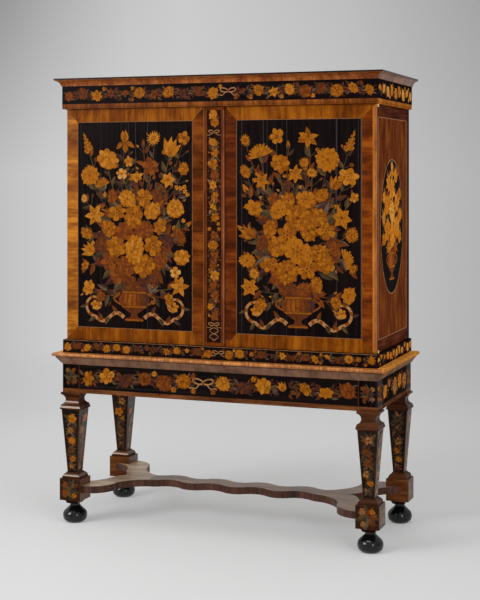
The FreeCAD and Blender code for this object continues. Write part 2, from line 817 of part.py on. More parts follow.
def stand_top_pieces():
    board_foot = f"({STAND_TOP} - stand_top_thickness)"
    keep("stand_top", box(
        "stand_top", (f"-({APRON_X} - stand_top_rebate)", f"{APRON_X} - stand_top_rebate"),
        (f"{APRON_Y} + stand_top_rebate", BACK), (board_foot, STAND_TOP)))
    out = "stand_overhang + moulding_overhang"
    bead_foot = f"({STAND_TOP} - 2 * moulding_bead_radius)"
    bead_root = f"({out} - moulding_bead_radius)"
    bevel_end = f"({bead_root} - moulding_soffit)"
    profile = [
        ("stand_overhang - apron_thickness", APRON_TOP),
        ("stand_overhang", APRON_TOP),
        (bevel_end, f"{bead_foot} - moulding_fillet"),
        (bevel_end, bead_foot),
        (bead_root, bead_foot),
        (bead_root, STAND_TOP, "left", "cx", bead_root),
        ("stand_overhang - stand_top_rebate", STAND_TOP),
        ("stand_overhang - stand_top_rebate", board_foot),
        ("stand_overhang - apron_thickness", board_foot),
    ]
    inner_x, inner_y = f"{APRON_X} - apron_thickness", f"{APRON_Y} + apron_thickness"
    keep("stand_moulding_front", moulded(
        "stand_moulding_front", profile, front_plan(out, inner_x, inner_y),
        APRON_TOP, "moulding_height"))
    for side_name, side in SIDES.items():
        keep(f"stand_moulding_{side_name}", moulded(
            f"stand_moulding_{side_name}", profile, side_plan(side, out, inner_x, inner_y),
            APRON_TOP, "moulding_height", side))


def apron_pieces():
    wide = (f"-({APRON_X} - post_width)", f"{APRON_X} - post_width")
    deep = (f"{APRON_Y} + post_width", f"{POST_BACK} - post_width")
    tall = (APRON_FOOT, APRON_TOP)
    keep("apron_front", box("apron_front", wide, (APRON_Y, f"{APRON_Y} + apron_thickness"), tall))
    keep("apron_back", box(
        "apron_back", wide, (f"{POST_BACK} - apron_thickness", POST_BACK),
        (APRON_FOOT, f"{STAND_TOP} - stand_top_thickness")))
    for side_name, side in SIDES.items():
        keep(f"apron_{side_name}", box(
            f"apron_{side_name}", mirrored(side, f"{APRON_X} - apron_thickness", APRON_X), deep, tall))


def square_turning(name, profile, x, y):
    # A square piece whose half width follows the profile on all four sides.
    # The profile runs down the right-hand side as (half width, height).
    flipped = []
    for index in range(len(profile) - 1, -1, -1):
        half, height = profile[index][:2]
        point = (f"-({half})", height)
        if index + 1 < len(profile) and len(profile[index + 1]) > 2:
            turn, axis, centre = profile[index + 1][2:]
            point += (turn, axis, f"-({centre})" if axis == "cx" else centre)
        flipped.append(point)
    points = list(profile) + flipped
    halves = []
    for plane in ("XZ_Plane", "YZ_Plane"):
        body = padded(f"{name}_{plane[:2].lower()}", plane, points, "2 * block_width", symmetric=True)
        halves.append(bind_base(body, x, y))
    return common(name, *halves)


def leg_profile():
    flange_foot = f"({APRON_FOOT} - flange_height)"
    neck = f"({APRON_FOOT} - neck_drop)"
    lip = f"({APRON_FOOT} - lip_drop)"
    rim = f"({lip} - lip_height - rim_drop)"
    shaft_top, shaft_foot = top_of("shaft_height"), foot_of("shaft_height")
    return [
        ("post_width / 2", APRON_TOP),
        ("post_width / 2", APRON_FOOT),
        ("flange_width / 2", APRON_FOOT),
        ("flange_width / 2", flange_foot),
        ("neck_width / 2", neck, "left", "cy", neck),
        ("flange_width / 2", lip, "left", "cy", neck),
        ("flange_width / 2", f"{lip} - lip_height"),
        ("rim_width / 2", rim),
        ("rim_width / 2", f"{rim} - rim_height"),
        ("shaft_top_width / 2", shaft_top),
        ("shaft_bottom_width / 2", shaft_foot),
    ]


def block_profile():
    ovolo_top, block_top = top_of("ovolo_height"), top_of("block_height")
    ovolo_foot = f"({block_top} + ovolo_fillet)"
    block_foot, collar_foot = foot_of("block_height"), foot_of("collar_height")
    return [
        ("ovolo_top_width / 2", ovolo_top),
        ("ovolo_top_width / 2", f"{ovolo_top} - ovolo_fillet"),
        ("ovolo_bottom_width / 2", ovolo_foot, "right", "cy", ovolo_foot),
        ("ovolo_bottom_width / 2", block_top),
        ("block_width / 2", block_top),
        ("block_width / 2", block_foot),
        ("collar_top_width / 2", block_foot),
        ("collar_top_width / 2", f"{block_foot} - collar_fillet"),
        ("collar_bottom_width / 2", collar_foot),
    ]


def foot(name, x, y):
    neck_foot = "(foot_height - foot_neck_height)"
    profile = [
        ("0", "0"),
        ("foot_base_radius", "0"),
        ("foot_under_radius", "foot_under_height"),
        ("foot_radius", "foot_widest_height", "left", "cy", "foot_widest_height"),
        ("foot_shoulder_radius", "foot_shoulder_height", "left", "cy", "foot_widest_height"),
        ("foot_throat_radius", "foot_throat_height"),
        ("foot_neck_radius", neck_foot),
        ("foot_neck_radius", "foot_height"),
        ("0", "foot_height"),
    ]
    body = doc.addObject("PartDesign::Body", name)
    turning = body.newObject("PartDesign::Revolution", f"{name}_turning")
    sketch = outline(body, "XZ_Plane", profile)
    turning.Profile = sketch
    turning.ReferenceAxis = (sketch, ["V_Axis"])
    turning.Angle = 360
    return bind_base(body, x, y)


def leg_pieces():
    feet = []
    for depth_name, y in (("front", LEG_FRONT_Y), ("back", LEG_BACK_Y)):
        for side_name, side in SIDES.items():
            place = f"{depth_name}_{side_name}"
            x = f"{side} * {LEG_X}"
            keep(f"leg_{place}", square_turning(f"leg_{place}", leg_profile(), x, y))
            keep(f"leg_block_{place}", square_turning(f"leg_block_{place}", block_profile(), x, y))
            feet.append(foot(f"bun_foot_{place}", x, y))
    keep("bun_feet", grouped("bun_feet", feet))


# Stretcher: a flat serpentine bar with a forked piece at each end, let in between the blocks

def stretcher_pieces():
    size = {name: value(name) for name in SIZES}
    middle_y = (value(LEG_FRONT_Y) + value(LEG_BACK_Y)) / 2
    half_bar = size["bar_width"] / 2
    joint_x = WAVE_COUNT * size["wave_length"]
    floor = size["stretcher_top"] - size["stretcher_thickness"]

    def point(x, y):
        return FreeCAD.Vector(x, middle_y + y, floor)

    def wave(quarter):
        # The bar swings to and fro in equal arcs, foremost at every fourth quarter wave.
        return (-1, 0, 1, 0)[quarter % 4] * size["wave_amplitude"]

    def quarter_point(quarter, offset):
        return point(quarter * size["wave_length"] / 4, wave(quarter) + offset)

    def wavy_edge(offset):
        last = 4 * WAVE_COUNT
        half_turn = arc_quarter(offset)
        arcs = [half_turn(-last, -last + 1)]
        arcs += [
            bent(*(quarter_point(middle + step, offset) for step in (-1, 0, 1)))
            for middle in range(-last + 2, last - 1, 2)
        ]
        arcs.append(half_turn(last, last - 1))
        return arcs

    def arc_quarter(offset):
        # From a crest to the next crossing, on the circle that the full arcs follow.
        run, rise = size["wave_length"] / 4, size["wave_amplitude"]
        radius = (run ** 2 + rise ** 2) / (2 * rise)

        def quarter_arc(crest, crossing):
            start, end = quarter_point(crest, offset), quarter_point(crossing, offset)
            middle_x = (start.x + end.x) / 2
            sink = radius - math.sqrt(radius ** 2 - (middle_x - start.x) ** 2)
            through = FreeCAD.Vector(middle_x, start.y + sink, floor)
            return bent(start, through, end)

        return quarter_arc

    def slab(edges):
        wire = Part.Wire(Part.__sortEdges__(edges))
        face = Part.Face(wire)
        return face.extrude(FreeCAD.Vector(0, 0, size["stretcher_thickness"]))

    def straight(start, end):
        return Part.LineSegment(start, end).toShape()

    def bent(start, through, end):
        return Part.Arc(start, through, end).toShape()

    joint_y = wave(4 * WAVE_COUNT)
    front_end, back_end = joint_y - half_bar, joint_y + half_bar
    bar = wavy_edge(-half_bar) + wavy_edge(half_bar)
    bar += [straight(point(x, front_end), point(x, back_end)) for x in (-joint_x, joint_x)]
    shapes = {"stretcher_bar": slab(bar)}

    leg_x, leg_y = value(LEG_X), value(LEG_BACK_Y) - middle_y
    half_block = size["block_width"] / 2
    face_x, face_y = leg_x - half_block, leg_y - half_block
    cusp_x, cusp_y = face_x - size["lobe_length"], face_y - size["cusp_inset"]
    lobe_y = leg_y + half_block - size["lobe_inset"]
    bite_x = face_x - size["bite_depth"]
    bite_run = leg_x + size["bite_overlap"] - bite_x

    def bite_point(side, sign, share):
        return point(side * (bite_x + share[0] * bite_run), sign * share[1] * face_y)

    def bite_arc(side, sign, *shares):
        return bent(*(bite_point(side, sign, share) for share in shares))

    for side_name, side in SIDES.items():
        edges = [straight(point(side * joint_x, front_end), point(side * joint_x, back_end))]
        for sign, start_y in ((-1, front_end), (1, back_end)):
            start = point(side * joint_x, start_y)
            cusp = point(side * cusp_x, sign * cusp_y)
            run_x, run_y = cusp_x - joint_x, sign * cusp_y - start_y
            sweep = point(
                side * (joint_x + SWEEP_SHARE[0] * run_x), start_y + SWEEP_SHARE[1] * run_y)
            lobe_end = point(side * face_x, sign * lobe_y)
            lobe_mid = point(
                side * (cusp_x + LOBE_SHARE[0] * size["lobe_length"]),
                sign * (cusp_y + LOBE_SHARE[1] * (lobe_y - cusp_y)))
            corner = point(side * face_x, sign * face_y)
            edges += [
                bent(start, sweep, cusp), bent(cusp, lobe_mid, lobe_end),
                straight(lobe_end, corner), straight(corner, bite_point(side, sign, (1, 1))),
                bite_arc(side, sign, (0, 0), BITE_TIP_SHARE, BITE_TURN_SHARE),
                bite_arc(side, sign, BITE_TURN_SHARE, BITE_END_SHARE, (1, 1)),
            ]
        shapes[f"stretcher_fork_{side_name}"] = slab(edges)
    for name, shape in shapes.items():
        item = doc.addObject("Part::Feature", name)
        item.Shape = shape
        keep(name, item)


# Assembly

socket_seats, knuckle_notches = pivot_tools()
case_pieces(socket_seats, knuckle_notches)
crown_pieces(socket_seats)
base_pieces(socket_seats)
for door_name, door_side in SIDES.items():
    door_pieces(door_name, door_side)
closing_strip()
lock_pieces()
bolt_pieces()
stand_top_pieces()
apron_pieces()
leg_pieces()
stretcher_pieces()
doc.recompute()

# Every object has to be sound before anything is written.
failed = [item.Label for item in doc.Objects if {"Invalid", "Error"} & set(item.State)]
failed += [item.Label for item in nodes if item.Shape.isNull() or not item.Shape.isValid()]
if failed:
    raise RuntimeError("pieces that failed: " + ", ".join(failed))
os.makedirs("parts", exist_ok=True)
for item in nodes:
    item.Shape.exportStep(f"parts/{item.Label}.step")
print(f"{len(nodes)} pieces, {sum(len(item.Shape.Solids) for item in nodes)} solids")
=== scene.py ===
import math
import random

import bpy
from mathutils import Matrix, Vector


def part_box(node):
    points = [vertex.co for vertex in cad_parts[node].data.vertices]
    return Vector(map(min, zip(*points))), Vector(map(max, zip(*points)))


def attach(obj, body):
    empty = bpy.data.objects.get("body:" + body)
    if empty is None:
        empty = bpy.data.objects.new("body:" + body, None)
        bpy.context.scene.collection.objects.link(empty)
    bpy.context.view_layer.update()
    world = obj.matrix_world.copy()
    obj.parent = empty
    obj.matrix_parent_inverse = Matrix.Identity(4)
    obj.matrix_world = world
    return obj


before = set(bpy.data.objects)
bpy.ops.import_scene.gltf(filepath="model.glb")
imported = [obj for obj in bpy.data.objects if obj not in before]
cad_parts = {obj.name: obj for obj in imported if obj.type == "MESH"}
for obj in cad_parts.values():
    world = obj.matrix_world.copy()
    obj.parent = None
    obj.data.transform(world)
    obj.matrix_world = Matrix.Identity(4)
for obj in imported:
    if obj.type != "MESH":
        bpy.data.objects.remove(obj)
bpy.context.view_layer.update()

# Looks of the cabinet on stand: veneers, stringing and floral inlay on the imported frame.
# Lengths are in metres, and MM turns the millimetres of the inlay into metres.

MM = 0.001
# How much light a surface throws back: on the front, on the sides, and on the sides of the legs
SHINY, DULL, SHEEN = 0.03, 0.001, 0.6
WARM = (1.0, 0.84, 0.68, 1.0)
BLACK, WHITE = (0, 0, 0, 1), (1, 1, 1, 1)
CASE = "case"
LEFT_DOOR, RIGHT_DOOR = "left_door", "right_door"
DOORS = (LEFT_DOOR, RIGHT_DOOR)
SIDES = ("left", "right")
CORNERS = ("front_left", "front_right", "back_left", "back_right")
RIGHT, UP = (1, 0, 0), (0, 0, 1)


def low(node):
    return Vector(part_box(node)[0])


def high(node):
    return Vector(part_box(node)[1])


# Colours, given as they look on screen

def colour(red, green, blue):
    def linear(level):
        level /= 255
        return level / 12.92 if level <= 0.04045 else ((level + 0.055) / 1.055) ** 2.4
    return (linear(red), linear(green), linear(blue), 1.0)


def scaled(shade, factor):
    return tuple(min(1.0, part * factor) for part in shade[:3]) + (1.0,)


INLAY = {name: colour(*levels) for name, levels in {
    "cream": (182, 130, 66), "straw": (170, 107, 32), "gold": (154, 91, 16), "amber": (132, 73, 12),
    "orange": (122, 62, 16), "rust": (102, 50, 16), "tan": (142, 96, 48), "clay": (112, 70, 38),
    "red_brown": (86, 42, 18), "plum": (66, 37, 30), "shade": (46, 27, 16), "grey": (92, 74, 58),
    "olive": (82, 63, 36), "moss": (64, 50, 33), "leaf_dark": (46, 35, 25), "ribbon": (158, 110, 66),
    "string": (126, 90, 62), "ebony": (14, 11, 10),
}.items()}

# The light, middle and dark wood of a flower or leaf
TONES = {
    "pale": ("cream", "straw", "amber"),
    "gold": ("straw", "gold", "amber"),
    "amber": ("gold", "amber", "rust"),
    "honey": ("gold", "gold", "orange"),
    "rust": ("orange", "rust", "red_brown"),
    "brown": ("rust", "red_brown", "plum"),
    "plum": ("red_brown", "plum", "shade"),
    "dusty": ("tan", "clay", "red_brown"),
    "leaf": ("olive", "moss", "leaf_dark"),
    "mauve": ("grey", "plum", "leaf_dark"),
}

# The dark, middle and light shade of a veneer
WOODS = {name: tuple(colour(*levels) for levels in shades) for name, shades in {
    "painted_lit_golden": ((98, 48, 8), (138, 76, 12), (184, 114, 30)),
    "tawny": ((84, 38, 2), (116, 58, 4), (150, 84, 12)),
    "honey": ((138, 72, 18), (176, 100, 34), (206, 130, 56)),
    "chestnut": ((64, 26, 2), (94, 41, 4), (122, 60, 10)),
    "russet": ((56, 20, 2), (86, 33, 4), (116, 54, 10)),
    "amber": ((72, 28, 2), (110, 46, 2), (140, 70, 10)),
    "redwood": ((66, 26, 8), (104, 47, 14), (138, 72, 26)),
    "side": ((76, 30, 8), (114, 52, 15), (152, 84, 27)),
    "purple_band": ((54, 20, 8), (84, 35, 17), (114, 56, 28)),
    "bead_side_painted_lit": ((130, 68, 16), (172, 98, 30), (206, 134, 54)),
    "gold_side_painted_lit": ((152, 90, 26), (200, 128, 48), (232, 166, 80)),
    "strip_bead": ((88, 46, 28), (120, 68, 44), (148, 90, 62)),
    "gold_brown": ((72, 32, 4), (104, 51, 10), (138, 76, 22)),
    "pink_gold": ((118, 64, 24), (158, 96, 42), (194, 130, 68)),
    "brown_band": ((58, 30, 14), (92, 50, 24), (120, 72, 38)),
    "cornice": ((98, 46, 14), (134, 70, 26), (168, 98, 44)),
    "grey_brown_and_painted_sheen": ((94, 72, 58), (126, 99, 80), (152, 124, 102)),
    "pale_brown_painted_lit": ((146, 118, 94), (184, 155, 127), (210, 184, 156)),
    "bevel": ((92, 58, 36), (110, 73, 50), (128, 90, 64)),
    "bevel_side_painted_lit": ((112, 74, 46), (138, 98, 66), (162, 120, 84)),
    "dark_edge": ((42, 20, 11), (66, 36, 23), (94, 57, 39)),
    "oak": ((92, 62, 36), (132, 94, 58), (160, 122, 82)),
    "black_line": ((24, 12, 8), (32, 16, 10), (40, 22, 14)),
    "leg_moulding": ((36, 18, 9), (66, 36, 19), (96, 56, 31)),
    "leg_ground": ((20, 15, 12), (31, 24, 19), (44, 35, 28)),
    "dark_red": ((20, 8, 4), (32, 13, 7), (46, 20, 11)),
}.items()}


# Shader nodes

def feed(tree, node, inputs):
    # Links each input to an output, or sets it to a value.
    for socket, value in inputs.items():
        if hasattr(value, "is_output"):
            tree.links.new(value, node.inputs[socket])
        else:
            node.inputs[socket].default_value = value


def add(tree, kind, inputs=None, operation=None):
    node = tree.nodes.new(kind)
    if operation:
        node.operation = operation
    feed(tree, node, inputs or {})
    return node


def scalar(tree, operation, *values):
    return add(tree, "ShaderNodeMath", dict(enumerate(values)), operation).outputs[0]


def object_place(tree):
    return add(tree, "ShaderNodeTexCoord").outputs["Object"]


def component(tree, source, axis):
    return add(tree, "ShaderNodeSeparateXYZ", {"Vector": source}).outputs[axis]


def stretched_noise(tree, scale, detail=3.0, roughness=0.55):
    # Noise in the row frame, drawn out along the axis with the smallest scale.
    place = add(tree, "ShaderNodeMapping", {"Vector": object_place(tree), "Scale": scale}).outputs["Vector"]
    noise = {"Vector": place, "Scale": 1.0, "Detail": detail, "Roughness": roughness}
    return add(tree, "ShaderNodeTexNoise", noise).outputs["Fac"]


def ramp(tree, factor, stops):
    node = add(tree, "ShaderNodeValToRGB", {"Fac": factor})
    elements = node.color_ramp.elements
    while len(elements) < len(stops):
        elements.new(0.5)
    for element, (position, shade) in zip(elements, stops):
        element.position = position
        element.color = shade
    return node.outputs["Color"]


# The sockets of a mix node's factor and two values, and of its result
MIX_SOCKETS = {"FLOAT": (0, 2, 3, 0), "RGBA": (0, 6, 7, 2)}


def mixed(tree, factor, first, second, kind="RGBA"):
    node = tree.nodes.new("ShaderNodeMix")
    node.data_type = kind
    *sockets, result = MIX_SOCKETS[kind]
    feed(tree, node, dict(zip(sockets, (factor, first, second))))
    return node.outputs[result]


def ranged(tree, value, lowest, highest, start=0.0, end=1.0):
    limits = {"Value": value, "From Min": start, "From Max": end, "To Min": lowest, "To Max": highest}
    return add(tree, "ShaderNodeMapRange", limits).outputs["Result"]


def past(tree, axis, line, softness=0.2 * MM):
    # 0 before a line across an axis of the row frame and 1 past it.
    return ranged(tree, component(tree, object_place(tree), axis), 0.0, 1.0, line - softness, line + softness)


def within(tree, axis, start, end):
    # 1 between two lines across an axis of the row frame and 0 elsewhere.
    return scalar(tree, "SUBTRACT", past(tree, axis, start), past(tree, axis, end))


def facing(tree, axis):
    # 1 on faces that look along an axis, 0 on the others, and -1 on those that look the other way.
    return component(tree, add(tree, "ShaderNodeNewGeometry").outputs["Normal"], axis)


def facing_up(tree):
    return ranged(tree, facing(tree, "Z"), 0.0, 1.0, 0.4, 0.6)


def facing_aside(tree):
    # 1 on faces that look left or right and 0 on the others.
    return ranged(tree, scalar(tree, "ABSOLUTE", facing(tree, "X")), 0.0, 1.0, 0.6, 0.8)


# Makers of colour: each gives a function that draws a veneer in a material's nodes.

# Scales of the fine grain and of broad patches, by the axis they run along, and of dark eyes
GRAIN = {"X": (5, 130, 130), "Y": (130, 5, 130), "Z": (130, 130, 5)}
PATCH = {"X": (7, 22, 22), "Y": (22, 7, 22), "Z": (22, 22, 7)}
EYES = (46, 46, 46)
GRAIN_DEPTH = 0.3 * MM
# How far polish goes below and above its mean roughness
SMOOTHER, ROUGHER = 0.07, 0.09
# Cracks in ebony are finer than its grain and much longer.
CRACK_ACROSS, CRACK_ALONG = 1.4, 0.06


def in_wood(name, grain, patch_share=0.5):
    # Fine grain over broad patches, with a few dark eyes.
    def maker(tree):
        fine = stretched_noise(tree, GRAIN[grain], 4.0, 0.65)
        patch = stretched_noise(tree, PATCH[grain], 3.0, 0.6)
        dark, middle, light = WOODS[name]
        figure = mixed(tree, patch_share, fine, patch, "FLOAT")
        ground = ramp(tree, figure, [(0.38, dark), (0.5, middle), (0.62, light)])
        eyes = stretched_noise(tree, EYES, 2.0, 0.6)
        return mixed(tree, ranged(tree, eyes, 0.0, 0.6, 0.64, 0.72), ground, scaled(dark, 0.7))
    return maker


def in_ebony(grain="Z"):
    # Streaked black with a few thin grey cracks.
    def maker(tree):
        streak = stretched_noise(tree, GRAIN[grain], 3.0)
        ground = ramp(tree, streak, [(0.38, colour(9, 4, 4)), (0.62, colour(21, 12, 11))])
        along = min(GRAIN[grain])
        scale = tuple(size * (CRACK_ALONG if size == along else CRACK_ACROSS) for size in GRAIN[grain])
        crack = ramp(tree, stretched_noise(tree, scale, 0.0), [(0.745, BLACK), (0.77, WHITE)])
        return mixed(tree, crack, ground, colour(48, 43, 43))
    return maker


def in_bands(axis, first, *rest):
    # Veneers one after the other along an axis: a maker, then each line and the maker past it.
    def maker(tree):
        result = first(tree)
        for line, following in zip(rest[::2], rest[1::2]):
            result = mixed(tree, past(tree, axis, line), result, following(tree))
        return result
    return maker


def edge_and_top(edge, top):
    return lambda tree: mixed(tree, facing_up(tree), edge(tree), top(tree))


# Materials

def new_material(name, gloss):
    material = bpy.data.materials.new(name)
    material.use_nodes = True
    shader = material.node_tree.nodes["Principled BSDF"]
    shader.inputs["Specular IOR Level"].default_value = gloss
    return material, material.node_tree, shader


def veneer(name, maker, grain="Z", roughness=0.34, gloss=0.04, bump=0.1, figure=GRAIN):
    # A maker's colour with uneven polish and a grain that can be felt.
    material, tree, shader = new_material(name, gloss)
    fine = stretched_noise(tree, figure[grain], 5.0, 0.7)
    ridges = add(tree, "ShaderNodeBump", {"Strength": bump, "Distance": GRAIN_DEPTH, "Height": fine})
    feed(tree, shader, {"Base Color": maker(tree), "Normal": ridges.outputs["Normal"],
                        "Roughness": ranged(tree, fine, roughness - SMOOTHER, roughness + ROUGHER)})
    return material


def wood(name, shades, grain, roughness=0.36, patch_share=0.5, gloss=0.04):
    return veneer(name, in_wood(shades, grain, patch_share), grain, roughness, gloss, 0.12)


def speckled(name, shade, scale, detail, gloss, darker, lighter, roughness, metallic=0.0):
    # Lacquer or metal of uneven tone and polish.
    material, tree, shader = new_material(name, gloss)
    tone = stretched_noise(tree, (scale, scale, scale), detail)
    shades = ramp(tree, tone, [(0.3, scaled(shade, darker)), (0.7, scaled(shade, lighter))])
    feed(tree, shader, {"Base Color": shades, "Roughness": ranged(tree, tone, *roughness), "Metallic": metallic})
    return material


def inlay_wood(name, shade, gloss):
    # Figured wood, scorched darker here and there.
    def maker(tree):
        figure = stretched_noise(tree, (260, 260, 60), 3.0, 0.6)
        ground = ramp(tree, figure, [(0.3, scaled(shade, 0.8)), (0.7, scaled(shade, 1.2))])
        scorch = stretched_noise(tree, (70, 70, 70), 2.0, 0.5)
        return mixed(tree, ranged(tree, scorch, 0.0, 0.7, 0.52, 0.7), ground, scaled(shade, 0.4))
    material = veneer(name, maker, "Z", 0.38, gloss, 0.06)
    if gloss == SHEEN:
        material.node_tree.nodes["Principled BSDF"].inputs["Specular Tint"].default_value = WARM
    return material


def paint(material, *nodes):
    for node in nodes:
        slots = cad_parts[node].data.materials
        slots.clear()
        slots.append(material)


# Veneers on the CAD pieces. The bands' places follow the pieces they lie on.

APRON_BAND = 17 * MM
CAPITAL = 70 * MM
COLLAR = 16 * MM
OVOLO = 23 * MM
DOOR_EDGE_AND_HIGHLIGHT = 10 * MM
STRIP_BLACK = (-30 * MM, 31 * MM)
STRIP_END = 13 * MM
STRIP_BEAD = 7.5 * MM
MOULDING_BEAD = 14 * MM
MOULDING_SHADOW_LINE = 3 * MM
CORNICE_LIP = 6 * MM
SIDE_BAND = 46 * MM
SIDE_FRONT = 14 * MM
SIDE_BACK = 48 * MM
SIDE_EDGE = 26 * MM
post_foot = low("apron_front").z
band_top = post_foot + APRON_BAND
shaft_foot = low("leg_front_left").z
shaft_top = post_foot - CAPITAL
block_low = low("leg_block_front_left").z + COLLAR
block_high = shaft_foot - OVOLO
side_near, side_far = low("case_right_side").y + SIDE_FRONT, high("case_right_side").y - SIDE_BACK
side_foot, side_top = low("left_door_hinge_stile").z + SIDE_BAND, high("left_door_hinge_stile").z - SIDE_BAND
strip_foot, strip_top = low("closing_strip").z + STRIP_END, high("closing_strip").z - STRIP_END


def door_veneers():
    # The outer edge of the right door's hinge stile is painted in lighter honey wood with its grain along the edge:
    # partly the edge's own veneer, partly a painted highlight of the light from the right.
    edge = high("right_door_hinge_stile").x - DOOR_EDGE_AND_HIGHLIGHT
    cross = in_bands("X", in_wood("amber", "X", 0.7), edge, in_wood("honey", "Z"))
    paint(veneer("amber_cross", cross, gloss=0.06), "right_door_hinge_stile")
    # The left door's hinge stile is painted in a lighter, golden copy of the cross-banding: a painted highlight of the
    # key light on the left.
    paint(wood("golden_cross", "painted_lit_golden", "X", patch_share=0.66, gloss=0.08), "left_door_hinge_stile")
    for door, shades in zip(DOORS, ("chestnut", "russet")):
        paint(wood(f"{shades}_cross", shades, "X", patch_share=0.7), f"{door}_meeting_stile")
    rails = (f"{door}_{end}_rail" for door in DOORS for end in ("top", "bottom"))
    paint(wood("tawny_upright", "tawny", "Z", patch_share=0.6), *rails)
    middle = (low("left_door_panel").y + high("left_door_panel").y) / 2
    panel = in_bands("Y", in_ebony(), middle, in_wood("oak", "Z"))
    paint(veneer("panel_veneer", panel, gloss=SHINY, bump=0.08), *(f"{door}_panel" for door in DOORS))
    bead = high("closing_strip").x - STRIP_BEAD
    field = in_bands("X", in_wood("chestnut", "Z"), STRIP_BLACK[0], in_wood("dark_red", "Z"), STRIP_BLACK[1],
                     in_wood("redwood", "Z"), bead, in_wood("strip_bead", "Z"))
    ends = in_wood("chestnut", "X")
    strip = in_bands("Z", ends, strip_foot, field, strip_top, ends)
    paint(veneer("strip_veneer", strip, gloss=SHINY), "closing_strip")


def case_veneers():
    bands = ("frieze", "base_band")
    paint(veneer("ebony_band", in_ebony("X"), "X", gloss=SHINY, bump=0.08), *(f"{band}_front" for band in bands))
    paint(veneer("ebony_end", in_ebony("Y"), "Y", gloss=DULL, bump=0.08),
          *(f"{band}_{side}" for band in bands for side in SIDES))
    paint(wood("bead_veneer", "gold_brown", "Z", gloss=0.06), "bead_front")
    # The bead's ends are painted in a much lighter copy of its front wood, standing for the light that falls on the
    # sides.
    paint(wood("bead_side_painted_lit", "bead_side_painted_lit", "Z", gloss=DULL), "bead_left", "bead_right")
    lip, line = high("cornice_front").z - CORNICE_LIP, in_wood("black_line", "X")
    cornice = in_bands("Z", in_wood("cornice", "Z"), lip, line)
    paint(veneer("cornice_veneer", cornice, gloss=0.1), "cornice_front")
    cornice_end = in_bands("Z", in_wood("cornice", "Z", 0.9), lip, line)
    paint(veneer("cornice_end", cornice_end, "Y", 0.3, 0.4, 0.02, PATCH), "cornice_left", "cornice_right")
    # A black line just under the moulding's bead is painted shadow below the bead.
    bead_foot = high("stand_moulding_front").z - MOULDING_BEAD
    # On the moulding's ends the bevel and the bead are painted in lighter copies of the front's woods, for the light
    # that falls on the sides.
    for name, bevel, bead, gloss, places in (("front", "bevel", "pink_gold", 0.25, ("front",)),
                                             ("end", "bevel_side_painted_lit", "gold_side_painted_lit", DULL, SIDES)):
        moulding = in_bands("Z", in_wood(bevel, "Z", 0.9), bead_foot - MOULDING_SHADOW_LINE, line,
                            bead_foot, in_wood(bead, "Z", 0.3))
        paint(veneer(f"moulding_{name}", moulding, "Z", 0.28, gloss, 0.05, PATCH),
              *(f"stand_moulding_{place}" for place in places))
    band = in_wood("purple_band", "Y")
    field = in_bands("Z", band, side_foot, in_wood("side", "Z", 0.45), side_top, band)
    side = in_bands("Y", field, high("case_right_side").y - SIDE_EDGE, in_wood("black_line", "Z"))
    paint(veneer("side_veneer", side, "Z", 0.32, DULL), "case_left_side", "case_right_side")
    paint(wood("oak_upright", "oak", "Z", 0.6), "back_boards")
    paint(wood("oak_long", "oak", "X", 0.6), "case_bottom", "case_top", "dust_board", "shelves", "stand_top",
          "apron_back")
    paint(wood("oak_deep", "oak", "Y", 0.6), "shelf_battens")


def shine_between(material, start, end):
    # More polish on the slopes of the mouldings between two heights, on the legs nearer to the light,
    # and on the side faces up to there, than on the front.
    tree = material.node_tree
    plain, matt = (0.02, 0.02, 0.02, 1), (0.06, 0.06, 0.06, 1)
    aside = mixed(tree, past(tree, "Z", end), ranged(tree, facing_aside(tree), 0.02, SHEEN), plain)
    slopes = ranged(tree, facing(tree, "Z"), 0.02, 1.0, 0.2, 0.4)
    lit = mixed(tree, past(tree, "X", 0.0), slopes, matt)
    shine = mixed(tree, within(tree, "Z", start, end), aside, lit)
    feed(tree, tree.nodes["Principled BSDF"], {"Specular IOR Level": shine, "Specular Tint": WARM})


def stand_veneers():
    band, moulding = in_wood("brown_band", "X"), in_wood("leg_moulding", "X")
    apron = in_bands("Z", band, band_top, in_ebony("X"))
    paint(veneer("apron_veneer", apron), "apron_front")
    paint(veneer("apron_end", apron, gloss=DULL), "apron_left", "apron_right")
    leg = in_bands("Z", in_wood("leg_ground", "Z"), shaft_top, moulding, post_foot, band, band_top, in_ebony())
    block = in_bands("Z", in_wood("black_line", "X"), block_low, band, block_high, moulding)
    for name, node, maker, start, end in (("leg_veneer", "leg", leg, shaft_top, post_foot),
                                          ("block_veneer", "leg_block", block, block_high, shaft_foot)):
        material = veneer(name, maker, roughness=0.3)
        shine_between(material, start, end)
        paint(material, *(f"{node}_{corner}" for corner in CORNERS))
    # The stretcher's upward faces are painted paler and greyer than its edges: partly the veneer's own colour, partly a
    # painted reflection of the grey backdrop. The left fork's top is a still paler copy, painted lit by light from the
    # left and back.
    for name, shades, nodes in (("bar", "grey_brown_and_painted_sheen", ("stretcher_bar", "stretcher_fork_right")),
                                ("fork", "pale_brown_painted_lit", ("stretcher_fork_left",))):
        maker = edge_and_top(in_wood("dark_edge", "Z"), in_wood(shades, "X"))
        paint(veneer(f"stretcher_{name}", maker, "X", gloss=0.24), *nodes)
    paint(speckled("black_polish", colour(10, 12, 11), 60, 2.0, 0.4, 0.7, 1.3, (0.063, 0.135)), "bun_feet")


def fittings():
    brass = speckled("brass", colour(232, 200, 136), 240, 4.0, 0.5, 0.65, 1.2, (0.14, 0.39), 1.0)
    paint(brass, "pivot_sockets", "left_door_pivots", "right_door_pivots")
    iron = speckled("iron", colour(70, 66, 62), 240, 4.0, 0.5, 0.65, 1.2, (0.35, 0.6), 1.0)
    paint(iron, "lock_case", "lock_bolt", "right_door_staples", "upper_bolt", "lower_bolt")


# Inlay: thin plates of coloured wood on a flat ground, gathered by body, colour and finish

LIFT = 0.1 * MM
LAYER = 0.03 * MM
SUNK = 0.3 * MM
gathered = {}


